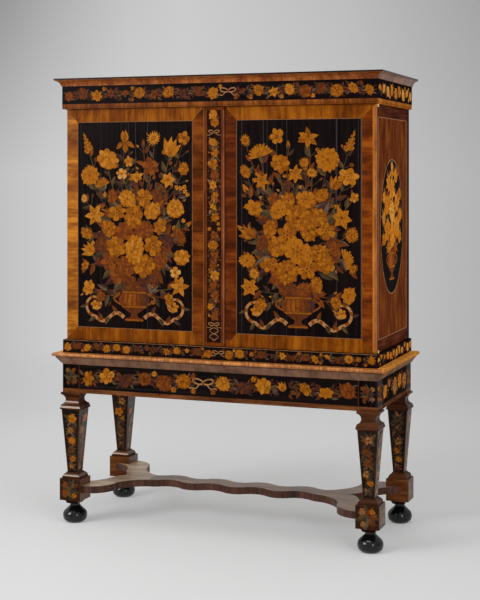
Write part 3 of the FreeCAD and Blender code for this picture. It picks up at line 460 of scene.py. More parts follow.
class Ground:
    """A flat face to inlay: a point on it, and the ways to its right and up."""

    def __init__(self, body, origin, right=RIGHT, up=UP, holds=None, aside=DULL):
        self.body = body
        # Faces that look sideways take a side finish, whose inlay woods are painted lighter.
        self.finish = SHINY if abs(right[0]) > 0.5 or abs(up[0]) > 0.5 else aside
        self.origin = Vector(origin)
        self.right = Vector(right).normalized()
        self.up = Vector(up).normalized()
        self.out = self.right.cross(self.up)
        self.holds = holds or (lambda x, y: True)
        self.lens = None
        self.pile = []

    def at(self, x, y, height):
        if self.lens:
            x, y = self.seen(x, y)
        return self.origin + self.right * x + self.up * y + self.out * height

    def seen(self, x, y):
        # A flower turned aside: drawn narrower across one line through its centre.
        centre_x, centre_y, angle, narrow = self.lens
        sine, cosine = math.sin(angle), math.cos(angle)
        u, v = x - centre_x, y - centre_y
        across, onward = u * cosine - v * sine, (u * sine + v * cosine) * narrow
        return centre_x + across * cosine + onward * sine, centre_y - across * sine + onward * cosine

    def free(self, x, y, radius):
        return all((x - u) ** 2 + (y - v) ** 2 > (radius + reach) ** 2 for u, v, reach, _ in self.pile)

    def seat(self, discs, thickness):
        # The first layer above all that lies under these discs, which are then taken.
        base = 0
        for x, y, radius in discs:
            for u, v, reach, top in self.pile:
                if top > base and (x - u) ** 2 + (y - v) ** 2 < (radius + reach) ** 2:
                    base = top
        self.pile += [(x, y, radius, base + thickness) for x, y, radius in discs]
        return base

    def plate(self, points, shade, layer):
        vertices, faces = gathered.setdefault((self.body, shade, self.finish), ([], []))
        turn = sum(a[0] * b[1] - a[1] * b[0] for a, b in zip(points, points[1:] + points[:1]))
        ordered = points if turn > 0 else points[::-1]
        start, count = len(vertices), len(points)
        for height in (LIFT + LAYER * layer, -SUNK):
            vertices += [self.at(x, y, height) for x, y in ordered]
        faces.append(list(range(start, start + count)))
        for index in range(count):
            following = (index + 1) % count
            faces.append([start + index, start + count + index, start + count + following, start + following])

    def band(self, path, width, shade, layer=0, end_width=None):
        # A strip along a path, cut into short plates so that it can bend.
        end_width = width if end_width is None else end_width
        edges = []
        for index, (x, y) in enumerate(path):
            before, after = path[max(index - 1, 0)], path[min(index + 1, len(path) - 1)]
            run = math.hypot(after[0] - before[0], after[1] - before[1]) or 1.0
            across = ((before[1] - after[1]) / run, (after[0] - before[0]) / run)
            half = (width + (end_width - width) * index / (len(path) - 1)) / 2
            edges.append(((x - across[0] * half, y - across[1] * half),
                          (x + across[0] * half, y + across[1] * half)))
        for (a, b), (c, d) in zip(edges, edges[1:]):
            self.plate([a, c, d, b], shade, layer)

    def outline(self, left, right, foot, top, upright_width, level_width):
        # A light line round a field.
        corners = [(left, foot), (right, foot), (right, top), (left, top), (left, foot)]
        for start, end in zip(corners, corners[1:]):
            self.band([start, end], level_width if start[1] == end[1] else upright_width, "string")

    def ribbon(self, path, width, shade, end_width=None):
        layer = self.seat([(x, y, width / 2) for x, y in path], 1)
        self.band(path, width, shade, layer, end_width)


# Shapes, drawn upwards from the origin

BLADE_STEPS = 6
PETAL_STEPS = 7
CURVE_STEPS = 10


def moved(points, x, y, heading=0.0):
    # Turned clockwise by a heading, then moved.
    sine, cosine = math.sin(heading), math.cos(heading)
    return [(x + u * cosine + v * sine, y - u * sine + v * cosine) for u, v in points]


def toward(x, y, heading, reach):
    return (x + math.sin(heading) * reach, y + math.cos(heading) * reach)


def disc(radius, count=12):
    return [(radius * math.cos(2 * math.pi * step / count), radius * math.sin(2 * math.pi * step / count))
            for step in range(count)]


def blade(length, width, fullness=0.8, bend=0.0, edges=(1, -1)):
    # A pointed petal or leaf, widest low down and bent to one side at its tip. Its edges are 1 and -1,
    # and 0 is its midrib.
    sides = []
    for edge in edges:
        side = []
        for step in range(BLADE_STEPS + 1):
            share = step / BLADE_STEPS
            half = math.sin(math.pi * share ** fullness) * width / 2
            side.append((bend * length * share * share + edge * half, length * share))
        sides.append(side)
    return sides[0] + sides[1][-2:0:-1]


def wedge(reach, start, end, lobe, wave):
    # A petal between two headings, with a rounded and slightly wavy edge.
    points = [(0.0, 0.0)]
    for step in range(PETAL_STEPS + 1):
        share = step / PETAL_STEPS
        edge = 1 - lobe * (1 - math.sin(math.pi * share) ** 0.6) + wave * math.sin(3 * math.pi * share)
        points.append(toward(0, 0, start + (end - start) * share, reach * edge))
    return points


def curve(start, bend, end):
    path = []
    for step in range(CURVE_STEPS + 1):
        t = step / CURVE_STEPS
        path.append(tuple((1 - t) ** 2 * a + 2 * t * (1 - t) * b + t * t * c
                          for a, b, c in zip(start, bend, end)))
    return path


# Flowers

class Bloom:
    """A flower on a ground. Its parts are sized by its own size, turned from its heading and
    coloured with its light, middle and dark wood."""

    def __init__(self, ground, x, y, size, tone, heading, dice):
        self.ground, self.place, self.size = ground, (x, y), size
        self.tone, self.heading, self.dice = tone, heading, dice
        self.woods = dict(zip(("light", "middle", "dark"), TONES[tone]))
        self.layer = 0

    def ahead(self, reach, turn=0.0):
        return toward(*self.place, self.heading + turn, self.size * reach)

    def seat(self, layers, radius=1.0, reach=0.0):
        self.layer = self.ground.seat([(*self.ahead(reach), self.size * radius)], layers)

    def plate(self, points, shade, layer, at, heading=0.0):
        self.ground.plate(moved(points, *(at or self.place), heading), self.woods.get(shade, shade), self.layer + layer)

    def dot(self, radius, shade, layer, count=12, at=None):
        self.plate(disc(self.size * radius, count), shade, layer, at)

    def petal(self, length, width, turn, shade, layer, fullness=0.8, bend=0.0, at=None):
        shape = blade(self.size * length, self.size * width, fullness, bend)
        self.plate(shape, shade, layer, at, self.heading + turn)

    def ring(self, reach, count, shades, layer, turn=0.0, spread=math.pi, lobe=0.24, gap=0.05, at=None):
        # Petals side by side round a centre, or across a fan of twice the spread.
        shares = [self.dice.uniform(0.72, 1.3) for _ in range(count)]
        start = self.heading + turn - spread
        for index, share in enumerate(shares):
            end = start + 2 * spread * share / sum(shares)
            petal = wedge(self.size * reach * self.dice.uniform(0.84, 1.0), start + gap / 2, end - gap / 2, lobe,
                          self.dice.uniform(-0.06, 0.06))
            self.plate(petal, shades[index % len(shades)], layer, at)
            start = end

    def smaller(self, at, share, turn):
        return Bloom(self.ground, *at, self.size * share, self.tone, self.heading + turn, self.dice)


LIGHT_FIRST, MIDDLE_FIRST = ("light", "middle"), ("middle", "light")
# The turns of six petals, in two sets of three
STAR = [(order, order * math.pi / 3 + index * 2 * math.pi / 3) for order in range(2) for index in range(3)]


def rose(bloom):
    bloom.seat(7)
    bloom.heading = bloom.dice.uniform(0, 2 * math.pi)
    rings = ((1.0, 8, ("middle", "light", "middle")), (0.7, 6, LIGHT_FIRST), (0.42, 5, MIDDLE_FIRST))
    for order, (share, count, shades) in enumerate(rings):
        at = bloom.ahead(0.07 * order)
        bloom.dot(share * 0.84, "dark", 2 * order, at=at)
        bloom.ring(share, count, shades, 2 * order + 1, order, at=at)
    bloom.dot(0.1, "dark", 6, 8, bloom.ahead(0.16))


def peony(bloom):
    bloom.seat(6)
    bloom.heading = bloom.dice.uniform(0, 2)
    bloom.dot(0.86, "dark", 0)
    bloom.ring(1.0, 13, ("middle", "light", "middle", "middle"), 1, lobe=0.16, gap=0.04)
    bloom.ring(0.74, 11, LIGHT_FIRST, 2, 0.3, lobe=0.2)
    bloom.dot(0.46, "dark", 3)
    bloom.ring(0.5, 7, MIDDLE_FIRST, 4, lobe=0.2, gap=0.08)
    bloom.dot(0.14, "dark", 5, 8)


def anemone(bloom):
    bloom.seat(5)
    bloom.heading = bloom.dice.uniform(0, 2)
    bloom.dot(0.72, "dark", 0)
    bloom.ring(1.0, 6, MIDDLE_FIRST, 1, lobe=0.3)
    for index in range(6):
        bloom.petal(0.56, 0.13, math.pi * (index + 0.5) / 3, "dark", 2, 0.7)
    bloom.dot(0.22, "light", 3)
    bloom.dot(0.12, "dark", 4, 8)


def narcissus(bloom):
    bloom.seat(6)
    for order, turn in STAR:
        bloom.petal(bloom.dice.uniform(0.92, 1.06), 0.66, turn, MIDDLE_FIRST[order], order, 0.62,
                    bloom.dice.uniform(-0.12, 0.12))
        bloom.petal(0.8, 0.05, turn, "dark", order + 1, 0.7)
    bloom.dot(0.3, "dark", 3)
    bloom.ring(0.34, 8, ("middle",), 4, lobe=0.2, gap=0.1)
    bloom.dot(0.14, "dark", 5, 8)


def lily(bloom):
    bloom.seat(5)
    for order, turn in STAR:
        bend = bloom.dice.uniform(-0.25, 0.25)
        bloom.petal(bloom.dice.uniform(0.95, 1.12), 0.5, turn, MIDDLE_FIRST[order], order, bend=bend)
        bloom.petal(0.8, 0.05, turn, "dark", order + 1, 0.7, bend)
    for index in range(5):
        tip = bloom.ahead(0.5, (index - 2) * 0.4)
        bloom.ground.band([bloom.place, tip], bloom.size * 0.035, bloom.woods["dark"], bloom.layer + 3)
        bloom.dot(0.06, "dark", 4, 6, tip)


def daisy(bloom):
    bloom.seat(4)
    for order, shade in enumerate(MIDDLE_FIRST):
        for index in range(8):
            bloom.petal(bloom.dice.uniform(0.88, 1.0), 0.3, (2 * index + order) * math.pi / 8, shade, order, 0.55)
    bloom.dot(0.3, "dark", 2)
    bloom.dot(0.18, "middle", 3, 9)


def tulip(bloom):
    bloom.seat(5, 0.95, 0.8)
    foot = bloom.ahead(-0.1)
    petals = ((-0.42, 1.75, "middle", -0.12), (0.46, 1.6, "middle", 0.12), (-0.2, 1.8, "light", 0.08),
              (0.22, 1.75, "middle", -0.05))
    for order, (lean, length, shade, bend) in enumerate(petals):
        bloom.petal(length, 0.72, lean, shade, order, 0.62, bend, foot)
    for lean in (-0.3, -0.12, 0.06, 0.26):
        bloom.petal(bloom.dice.uniform(1.0, 1.4), 0.06, lean, "dark", 4, 0.6, at=foot)


def carnation(bloom):
    bloom.seat(5, 0.95, 0.4)
    bloom.petal(0.6, 0.4, math.pi, "olive", 0, 0.5)
    bloom.ring(1.25, 11, ("middle", "light", "middle"), 1, spread=1.5, lobe=0.18, gap=0.04)
    bloom.ring(0.95, 8, LIGHT_FIRST, 2, spread=1.15, lobe=0.2)
    bloom.ring(0.62, 6, ("middle", "dark"), 3, spread=0.8, lobe=0.2, gap=0.06)
    bloom.dot(0.14, "olive", 4, 8)


def iris(bloom):
    bloom.seat(5, 1.1)
    for side in (-1, 1):
        bloom.petal(1.2, 0.56, side * 0.42, "light", 0, 0.9, side * -0.3)
        bloom.petal(1.1, 0.5, side * 1.75, "middle", 1, 1.2, side * 0.35)
    bloom.petal(1.05, 0.58, math.pi, "middle", 2, 1.1)
    bloom.petal(1.0, 0.46, 0, "middle", 3, 0.9)
    for lean in (-1.8, 0.0, 1.8, math.pi):
        bloom.petal(0.7, 0.08, lean, "dark", 4, 0.6)


def blossom(bloom):
    bloom.seat(2)
    bloom.ring(1.0, 5, LIGHT_FIRST, 0, lobe=0.34, gap=0.08)
    bloom.dot(0.25, "dark", 1, 7)


def bud(bloom):
    bloom.seat(3, 0.75, 0.7)
    bloom.petal(1.7, 0.8, 0, "middle", 0, 0.7)
    bloom.petal(1.5, 0.3, 0.14, "light", 1, 0.7)
    bloom.petal(0.75, 0.8, 0, "moss", 2, 0.5)


def sprig(bloom):
    # Small blossoms on short stalks.
    for index in range(5):
        turn = (index - 2) * 0.6
        tip = bloom.ahead(0.75 if index % 2 else 1.1, turn)
        bloom.ground.ribbon([bloom.place, tip], bloom.size * 0.07, "olive")
        blossom(bloom.smaller(tip, 0.4, turn))


def spike(bloom):
    # A tall head of small flowers that shrink towards its tip.
    bloom.ground.ribbon([bloom.place, bloom.ahead(2.6)], bloom.size * 0.08, "olive")
    for index in range(9):
        share, side = index / 9, 1 if index % 2 else -1
        aside = bloom.heading + side * math.pi / 2
        at = toward(*bloom.ahead(2.5 * share), aside, bloom.size * 0.34 * (1 - share))
        blossom(bloom.smaller(at, 0.44 - 0.3 * share, side))


FLOWERS = {kind.__name__: kind for kind in (rose, peony, anemone, narcissus, lily, daisy, tulip, carnation, iris,
                                            blossom, bud, sprig, spike)}
TURNED = ("rose", "peony", "anemone", "narcissus", "daisy", "blossom")


def flower(ground, kind, x, y, size, tone, heading, dice):
    # A flower, turned a little aside if it is a round one.
    if kind in TURNED:
        ground.lens = (x, y, dice.uniform(0, math.pi), dice.uniform(0.7, 1.0))
    FLOWERS[kind](Bloom(ground, x, y, size, tone, heading, dice))
    ground.lens = None


# Leaves, stems and bows

LEAF_TONES = ("leaf", "leaf", "mauve", "brown", "plum", "rust")
LEAST_LEAF = 6 * MM


def leaf(ground, x, y, length, tone, heading, dice, width=0.42):
    # Two halves of different wood. A leaf that would run off the ground is made shorter or left out.
    light, middle, dark = TONES[tone]
    bend = dice.uniform(-0.25, 0.25)
    while not ground.holds(*moved([(bend * length, length)], x, y, heading)[0]):
        length *= 0.8
        if length < LEAST_LEAF:
            return
    discs = [(*toward(x, y, heading, length * share), length * 0.17) for share in (0.2, 0.5, 0.8)]
    layer = ground.seat(discs, 1)
    shades = dice.choice(((light, middle), (middle, dark), (middle, light)))
    for side, shade in zip((1, -1), shades):
        half = blade(length, length * width, 0.75, bend, (side, 0))
        ground.plate(moved(half, x, y, heading), shade, layer)


def leafy_stem(ground, start, end, bow, width, leaf_length, dice):
    run = (end[0] - start[0], end[1] - start[1])
    bend = (start[0] + run[0] * 0.5 - run[1] * bow, start[1] + run[1] * 0.5 + run[0] * bow)
    path = curve(start, bend, end)
    ground.ribbon(path, width, dice.choice(("olive", "moss", "rust")), width * 0.7)
    for index in range(1, len(path) - 1, 2):
        (x, y), (u, v) = path[index], path[index + 1]
        heading = math.atan2(u - x, v - y)
        side = 1 if index % 4 == 1 else -1
        leaf(ground, x, y, leaf_length * dice.uniform(0.7, 1.2), dice.choice(LEAF_TONES),
             heading + side * dice.uniform(0.5, 1.0), dice)
        lean = heading - side * dice.uniform(0.5, 0.9)
        tip = toward(x, y, lean, leaf_length * dice.uniform(0.6, 1.0))
        if dice.random() < 0.55 and ground.holds(*toward(*tip, lean, leaf_length * 0.4)):
            ground.ribbon([(x, y), tip], width * 0.6, "moss")
            small = dice.choice(("bud", "blossom", "bud"))
            tone = dice.choice(("gold", "amber", "rust", "brown"))
            flower(ground, small, *tip, leaf_length * 0.24, tone, lean, dice)


def tendril(ground, x, y, heading, size, shade, turn):
    # A thin stalk that curls in on itself, left out where it would run off the ground.
    path = [(x, y)]
    for step in range(11):
        heading += turn * (0.12 + 0.055 * step)
        path.append(toward(*path[-1], heading, size * (0.17 - 0.009 * step)))
    if all(ground.holds(*point) for point in path):
        ground.ribbon(path, size * 0.1, shade, size * 0.06)


def bow_knot(ground, x, y, size):
    # A ribbon bow with two loops and two waving ends.
    for side in (-1, 1):
        loop, tail = [], []
        for step in range(13):
            turn = 2 * math.pi * step / 12
            loop.append((x + side * size * (0.44 - 0.42 * math.cos(turn)),
                         y + size * (0.1 + 0.2 * math.sin(turn) + 0.16 * (1 - math.cos(turn)) / 2)))
            tail.append((x + side * size * (0.06 + 0.09 * step),
                         y - size * (0.04 + 0.035 * step - 0.1 * math.sin(step * 0.75))))
        ground.ribbon(tail, size * 0.1, "ribbon", size * 0.06)
        ground.ribbon(loop, size * 0.11, "ribbon")
    layer = ground.seat([(x, y + size * 0.08, size * 0.14)], 1)
    ground.plate(moved(disc(size * 0.12, 9), x, y + size * 0.08), "orange", layer)


# Door panels: an urn with a spreading bunch of flowers and a leafy scroll on each side of its foot.
# Sizes are in mm from the middle of the panel's foot: across, up, size, kind and tone.

BLOOMS = (
    (-20, 186, 40, "rose", "brown"), (40, 190, 38, "anemone", "plum"), (-74, 208, 36, "rose", "rust"),
    (84, 212, 34, "peony", "brown"), (-106, 264, 44, "anemone", "rust"), (-36, 246, 50, "peony", "rust"),
    (44, 252, 52, "rose", "amber"), (112, 272, 42, "peony", "rust"), (-80, 322, 48, "rose", "amber"),
    (2, 316, 62, "peony", "gold"), (82, 332, 46, "anemone", "amber"), (-142, 330, 34, "rose", "brown"),
    (144, 344, 34, "rose", "plum"), (-42, 386, 46, "rose", "rust"), (42, 392, 48, "peony", "rust"),
    (-110, 394, 40, "peony", "amber"), (112, 404, 38, "anemone", "amber"), (0, 446, 56, "rose", "amber"),
    (-76, 458, 44, "anemone", "amber"), (78, 466, 44, "rose", "gold"), (-30, 514, 42, "peony", "gold"),
    (42, 520, 40, "anemone", "amber"), (-94, 522, 32, "rose", "rust"), (98, 528, 30, "peony", "brown"),
)
SPRAYS = (
    (-200, 158, 38, "anemone", "gold"), (-216, 246, 24, "blossom", "amber"), (-178, 300, 34, "tulip", "gold"),
    (-210, 374, 32, "rose", "amber"), (-172, 448, 46, "lily", "gold"), (-220, 514, 22, "daisy", "pale"),
    (-138, 562, 30, "carnation", "amber"), (-196, 606, 44, "peony", "honey"), (-116, 668, 52, "rose", "gold"),
    (-198, 706, 30, "spike", "amber"), (-54, 612, 26, "blossom", "pale"), (-24, 660, 24, "blossom", "gold"),
    (10, 600, 34, "narcissus", "gold"), (-40, 736, 40, "iris", "amber"), (38, 716, 20, "bud", "rust"),
    (70, 640, 42, "anemone", "rust"), (84, 752, 36, "daisy", "gold"), (146, 588, 34, "narcissus", "gold"),
    (150, 684, 44, "tulip", "gold"), (212, 752, 28, "blossom", "amber"), (212, 632, 30, "rose", "amber"),
    (200, 536, 26, "sprig", "gold"), (176, 476, 42, "peony", "gold"), (218, 404, 22, "bud", "amber"),
    (184, 360, 34, "carnation", "rust"), (204, 286, 38, "rose", "gold"), (176, 226, 26, "blossom", "pale"),
    (194, 172, 40, "lily", "gold"), (-148, 124, 26, "rose", "rust"), (150, 122, 30, "anemone", "amber"),
)
# Flowers and tones that stand on the other door in the place of each one
OTHER_KIND = {"rose": "peony", "peony": "anemone", "anemone": "rose", "narcissus": "lily", "lily": "narcissus",
              "tulip": "carnation", "carnation": "tulip", "iris": "lily", "daisy": "blossom", "blossom": "daisy",
              "bud": "bud", "sprig": "bud", "spike": "spike"}
OTHER_TONE = {"gold": "honey", "honey": "gold", "amber": "amber", "pale": "gold", "rust": "amber", "brown": "rust",
              "plum": "brown"}
URN_FOOT = 30
URN_MOUTH = 164
HUB = Vector((0, 330)) * MM
PANEL_MARGIN = 8 * MM
# Stems that end above a height, in mm, start at a share of the way from the hub, and others beside the urn's mouth.
HIGH_STEM, STEM_START, LOW_STEM_ASIDE = 220, 0.42, 30
STEM_WIDTH, STEM_LEAF, STEM_BOW = 4 * MM, 44 * MM, 0.14
SCROLL_PLACE, SCROLL_SIZE = 44 * MM, 110 * MM
# Leaves round the bunch, on an oval a little above the hub
WREATH_LEAVES = 30
WREATH_HALF, WREATH_RISE = (112 * MM, 150 * MM), 12 * MM
# Half widths and heights of a footed urn, and of its fluted belly
URN_OUTLINE = ((40, 0), (40, 9), (16, 17), (13, 30), (34, 42), (60, 62), (68, 86), (56, 108), (44, 117), (54, 134))
URN_BELLY = ((60, 62), (68, 86), (56, 108))
FLUTES = ("rust", "orange", "amber", "orange", "rust", "red_brown", "plum")


def other_hand(flowers):
    # The same bunch the other way round, with every flower a little higher or lower.
    return tuple((-x, y + 12 * math.sin(x * 0.11), size, OTHER_KIND[kind], OTHER_TONE[tone])
                 for x, y, size, kind, tone in flowers)


def urn(ground, x, y, scale):
    layer = ground.seat([(x, y + 90 * scale, 70 * scale), (x, y + 20 * scale, 40 * scale)], 3)

    def lay(points, shade, height):
        ground.plate(moved([(u * scale, v * scale) for u, v in points], x, y), shade, layer + height)

    lay(URN_OUTLINE + tuple((-u, v) for u, v in reversed(URN_OUTLINE)), "red_brown", 0)
    for index, shade in enumerate(FLUTES):
        left, right = 2 * index / 7 - 1 + 0.03, 2 * (index + 1) / 7 - 1 - 0.03
        lay([(left * u, v) for u, v in URN_BELLY] + [(right * u, v) for u, v in reversed(URN_BELLY)], shade, 1)
    for height, half in ((54, 52), (111, 52), (2, 38)):
        lay([(-half, height), (half, height), (half, height + 6), (-half, height + 6)], "amber", 2)
    for side in (-1, 1):
        handle = [(x + side * (60 + 28 * math.sin(math.pi * step / 8)) * scale, y + (66 + 44 * step / 8) * scale)
                  for step in range(9)]
        ground.ribbon(handle, 7 * scale, "orange")


def scroll(ground, x, y, side, size, dice):
    # A leafy scroll that runs out from the urn's foot and curls up round a blossom.
    path = [(x + side * size * 1.15 * step / 12, y + size * (0.16 * math.sin(math.pi * step / 6)))
            for step in range(13)]
    hub = (path[-1][0], path[-1][1] + size * 0.42)
    for step in range(1, 20):
        angle = -math.pi / 2 + side * step * 0.36
        reach = size * 0.42 * (1 - step / 27)
        path.append((hub[0] + reach * math.cos(angle), hub[1] + reach * math.sin(angle)))
    layer = ground.seat([(u, v, size * 0.07) for u, v in path], 2)
    ground.band(path, size * 0.14, "ribbon", layer, size * 0.06)
    for index in range(1, len(path) - 1, 3):
        ground.band(path[index:index + 2], size * 0.12, "orange", layer + 1, size * 0.1)
    blossom(Bloom(ground, *hub, size * 0.2, "gold", 0, dice))
    for index, lean in ((3, 0.5), (6, 2.4), (9, 0.4), (12, 2.3), (16, 1.6)):
        leaf(ground, *path[index], size * 0.34, "brown" if index % 2 else "leaf", side * lean, dice)


def panel_edges(door):
    # The opening of a door's frame: left, right, foot and top.
    stiles = (f"{door}_hinge_stile", f"{door}_meeting_stile")
    edges = sorted(edge for stile in stiles for edge in (low(stile).x, high(stile).x))
    return edges[1], edges[2], high(f"{door}_bottom_rail").z, low(f"{door}_top_rail").z


def panel_inlay(door, blooms, sprays, seed):
    dice = random.Random(seed)
    left, right, foot, top = panel_edges(door)
    half, tall = (right - left) / 2 - PANEL_MARGIN, top - foot - PANEL_MARGIN
    ground = Ground(door, ((left + right) / 2, low(f"{door}_panel").y, foot),
                    holds=lambda x, y: abs(x) < half and PANEL_MARGIN < y < tall)
    for side in (-1, 1):
        scroll(ground, side * SCROLL_PLACE, SCROLL_PLACE, side, SCROLL_SIZE, dice)
    for x, y, size, kind, tone in sprays:
        end = Vector((x, y)) * MM
        start = Vector((math.copysign(LOW_STEM_ASIDE, x), URN_MOUTH)) * MM
        if y > HIGH_STEM:
            start = HUB + (end - HUB) * STEM_START
        bow = STEM_BOW if x < 0 else -STEM_BOW
        leafy_stem(ground, tuple(start), tuple(end), bow, STEM_WIDTH, STEM_LEAF, dice)
    for index in range(WREATH_LEAVES):
        angle = 2 * math.pi * index / WREATH_LEAVES
        foot_x = WREATH_HALF[0] * math.sin(angle)
        foot_y = HUB.y + WREATH_RISE + WREATH_HALF[1] * math.cos(angle)
        leaf(ground, foot_x, foot_y, dice.uniform(56, 84) * MM, dice.choice(LEAF_TONES),
             angle + dice.uniform(-0.4, 0.4), dice)
    for x, y, size, kind, tone in sprays:
        end = Vector((x, y)) * MM
        heading = math.atan2(end.x - HUB.x, end.y - HUB.y) * 0.7
        flower(ground, kind, end.x, end.y, size * MM, tone, heading, dice)
    urn(ground, 0, URN_FOOT * MM, MM)
    for x, y, size, kind, tone in sorted(blooms, key=lambda bloom: bloom[2]):
        flower(ground, kind, x * MM, y * MM, size * MM, tone, dice.uniform(-0.4, 0.4), dice)


# Bands of flowers on the friezes, aprons, closing strip and legs

BAND_FLOWERS = ("rose", "peony", "anemone", "rose", "carnation", "peony", "tulip", "narcissus", "anemone")
BAND_TONES = ("gold", "amber", "gold", "amber", "honey", "rust", "brown", "plum")
BAND_LEAVES = ("mauve", "brown", "plum", "leaf", "plum")
END_TONES = ("gold", "pale", "gold", "honey", "pale")
STRIP_TONES = ("honey", "rust", "amber", "gold", "rust", "amber")
STRIP_LEAVES = ("leaf", "rust", "brown", "leaf", "dusty")
STALKS = ("plum", "grey", "red_brown", "olive", "plum")
LEG_TONES = ("dusty", "amber", "dusty", "brown", "honey")
POSY_TONES = ("dusty", "rust", "brown", "rust", "amber")
LEG_LEAVES = ("leaf", "leaf", "mauve", "leaf", "brown")


# How near to its ends and to its edges a row of flowers comes
ROW_MARGIN, ROW_HALF = 1 * MM, 0.48


def row_holds(length, height):
    return lambda x, y: ROW_MARGIN < x < length - ROW_MARGIN and abs(y) < height * ROW_HALF


def garland(ground, length, height, seed, pitch=0.86, bow_at=None, tones=BAND_TONES, leaves=BAND_LEAVES):
    # Flowers in a wavy row to the right of the ground's point, which is at the middle of the band's left end.
    dice = random.Random(seed)
    ground.holds = row_holds(length, height)
    count = max(1, round(length / (height * pitch)))
    step = length / count
    centres = [(step * (index + 0.5), height * 0.06 * (1 if index % 2 else -1)) for index in range(count)]
    bow_index = None if bow_at is None else int(count * bow_at)
    for index, (x, y) in enumerate(centres):
        if index == bow_index:
            continue
        for lean in (-2.2, -1.6, -0.9, 0.9, 1.6, 2.2):
            foot = toward(x, y, lean, height * 0.24)
            leaf(ground, *foot, height * dice.uniform(0.22, 0.34), dice.choice(leaves),
                 lean + dice.uniform(-0.4, 0.4), dice, 0.44)
        for lean, turn in ((-2.0, 1), (-1.1, -1), (1.1, 1), (2.0, -1)):
            foot = toward(x, y, lean, height * 0.26)
            tendril(ground, *foot, lean, height * dice.uniform(0.3, 0.42), dice.choice(STALKS), turn)
    for index, (x, y) in enumerate(centres):
        if index == bow_index:
            bow_knot(ground, x, 0, height * 0.52)
            continue
        kind = dice.choice(BAND_FLOWERS)
        size = height * dice.uniform(0.32, 0.41)
        if kind in ("tulip", "carnation"):
            size *= 0.66
        flower(ground, kind, x, y, size, dice.choice(tones), dice.uniform(-0.7, 0.7), dice)
    for x, y in centres:
        for side in (-1, 1):
            spot = (x + step * 0.5, side * height * 0.3)
            if spot[0] < length - height * 0.2 and ground.free(*spot, height * 0.06):
                blossom(Bloom(ground, *spot, height * 0.13, dice.choice(tones), 0, dice))


def undergrowth(ground, length, height, seed):
    # Small leaves that fill a narrow band from edge to edge.
    dice = random.Random(seed)
    ground.holds = row_holds(length, height)
    step = height * 0.24
    for index in range(1, int(length / step)):
        for share in (-0.32, 0, 0.32):
            x = step * index + height * dice.uniform(-0.08, 0.08)
            y = height * (share + dice.uniform(-0.08, 0.08))
            leaf(ground, x, y, height * dice.uniform(0.22, 0.32), dice.choice(STRIP_LEAVES),
                 dice.uniform(-math.pi, math.pi), dice, 0.5)


def side_ground(node, side, z_middle):
    # The outer face of a piece on the left or right, read from its left end.
    lowest, highest = low(node), high(node)
    if side == "right":
        return Ground(CASE, (highest.x, lowest.y, z_middle), (0, 1, 0))
    return Ground(CASE, (lowest.x, highest.y, z_middle), (0, -1, 0))


def band_inlays():
    bands = (("frieze", 0, 0.55), ("base_band", 0, 0.5), ("apron", APRON_BAND, 0.48))
    for seed, (name, foot, bow_at) in enumerate(bands):
        lowest, highest = low(f"{name}_front"), high(f"{name}_front")
        z_low, height = lowest.z + foot, highest.z - lowest.z - foot
        ground = Ground(CASE, (lowest.x, lowest.y, z_low + height / 2))
        garland(ground, highest.x - lowest.x, height, 11 + seed, bow_at=bow_at)
        for side in SIDES:
            node = f"{name}_{side}"
            depth = high(node).y - low(node).y
            garland(side_ground(node, side, z_low + height / 2), depth, height, 31 + 2 * seed + len(side),
                    tones=LEG_TONES if name == "apron" else END_TONES)


BOW_ROOM = 42 * MM
KEYHOLE_ROOM = 14 * MM
STRIP_RISE = 3 * MM
STRIP_LINE, CURL_WIDTH, CURL_TIP = 1.8 * MM, 2.6 * MM, 1.6 * MM


def strip_inlay():
    lowest, highest = low("closing_strip"), high("closing_strip")
    front = low("left_door_panel").y - STRIP_RISE
    middle = sum(STRIP_BLACK) / 2
    wide = STRIP_BLACK[1] - STRIP_BLACK[0]
    keyhole = (lowest.z + highest.z) / 2
    runs = ((strip_foot + 2 * BOW_ROOM, keyhole - KEYHOLE_ROOM),
            (keyhole + KEYHOLE_ROOM, strip_top - wide - BOW_ROOM), (strip_top - wide, strip_top))
    for seed, (start, end) in enumerate(runs):
        ground = Ground(LEFT_DOOR, (middle, front, start), UP, (-1, 0, 0))
        if end - start > 2 * wide:
            undergrowth(ground, end - start, wide, 57 + seed)
        garland(ground, end - start, wide, 51 + seed, 0.66, tones=STRIP_TONES, leaves=STRIP_LEAVES)
    face = Ground(LEFT_DOOR, (middle, front, 0))
    for z in (strip_top - wide - BOW_ROOM * 0.6, strip_foot + BOW_ROOM * 1.6):
        bow_knot(face, 0, z, wide * 0.42)
    for side in (-1, 1):
        curl = [(side * wide * 0.3 * math.sin(step * 0.55), strip_foot + BOW_ROOM * (1.4 - 0.1 * step))
                for step in range(13)]
        face.ribbon(curl, CURL_WIDTH, "ribbon", CURL_TIP)
    dice = random.Random(56)
    for share, rise in ((-0.32, -9), (0.3, 11), (0.34, -10)):
        blossom(Bloom(face, wide * share, keyhole + rise * MM, wide * 0.14, "honey", 0, dice))
    for x, shade in ((-wide / 2, "rust"), (wide / 2, "rust"), (lowest.x + 2 * MM - middle, "string")):
        face.band([(x, lowest.z), (x, highest.z)], STRIP_LINE, shade)


POST_HALF = 36.25 * MM
BLOCK_HALF = 45.5 * MM
SHAFT_FOOT_HALF = 22 * MM
SHAFT_TOP_HALF = 40 * MM
SHAFT_MARGIN = 4 * MM
SHAFT_LINE, SHAFT_LINE_WIDTH = 2 * MM, 1.2 * MM
# Where the flowers on a shaft start and end, as shares of its length, and their pitch in half widths
SHAFT_START, SHAFT_END, SHAFT_PITCH = 0.09, 0.93, 1.36


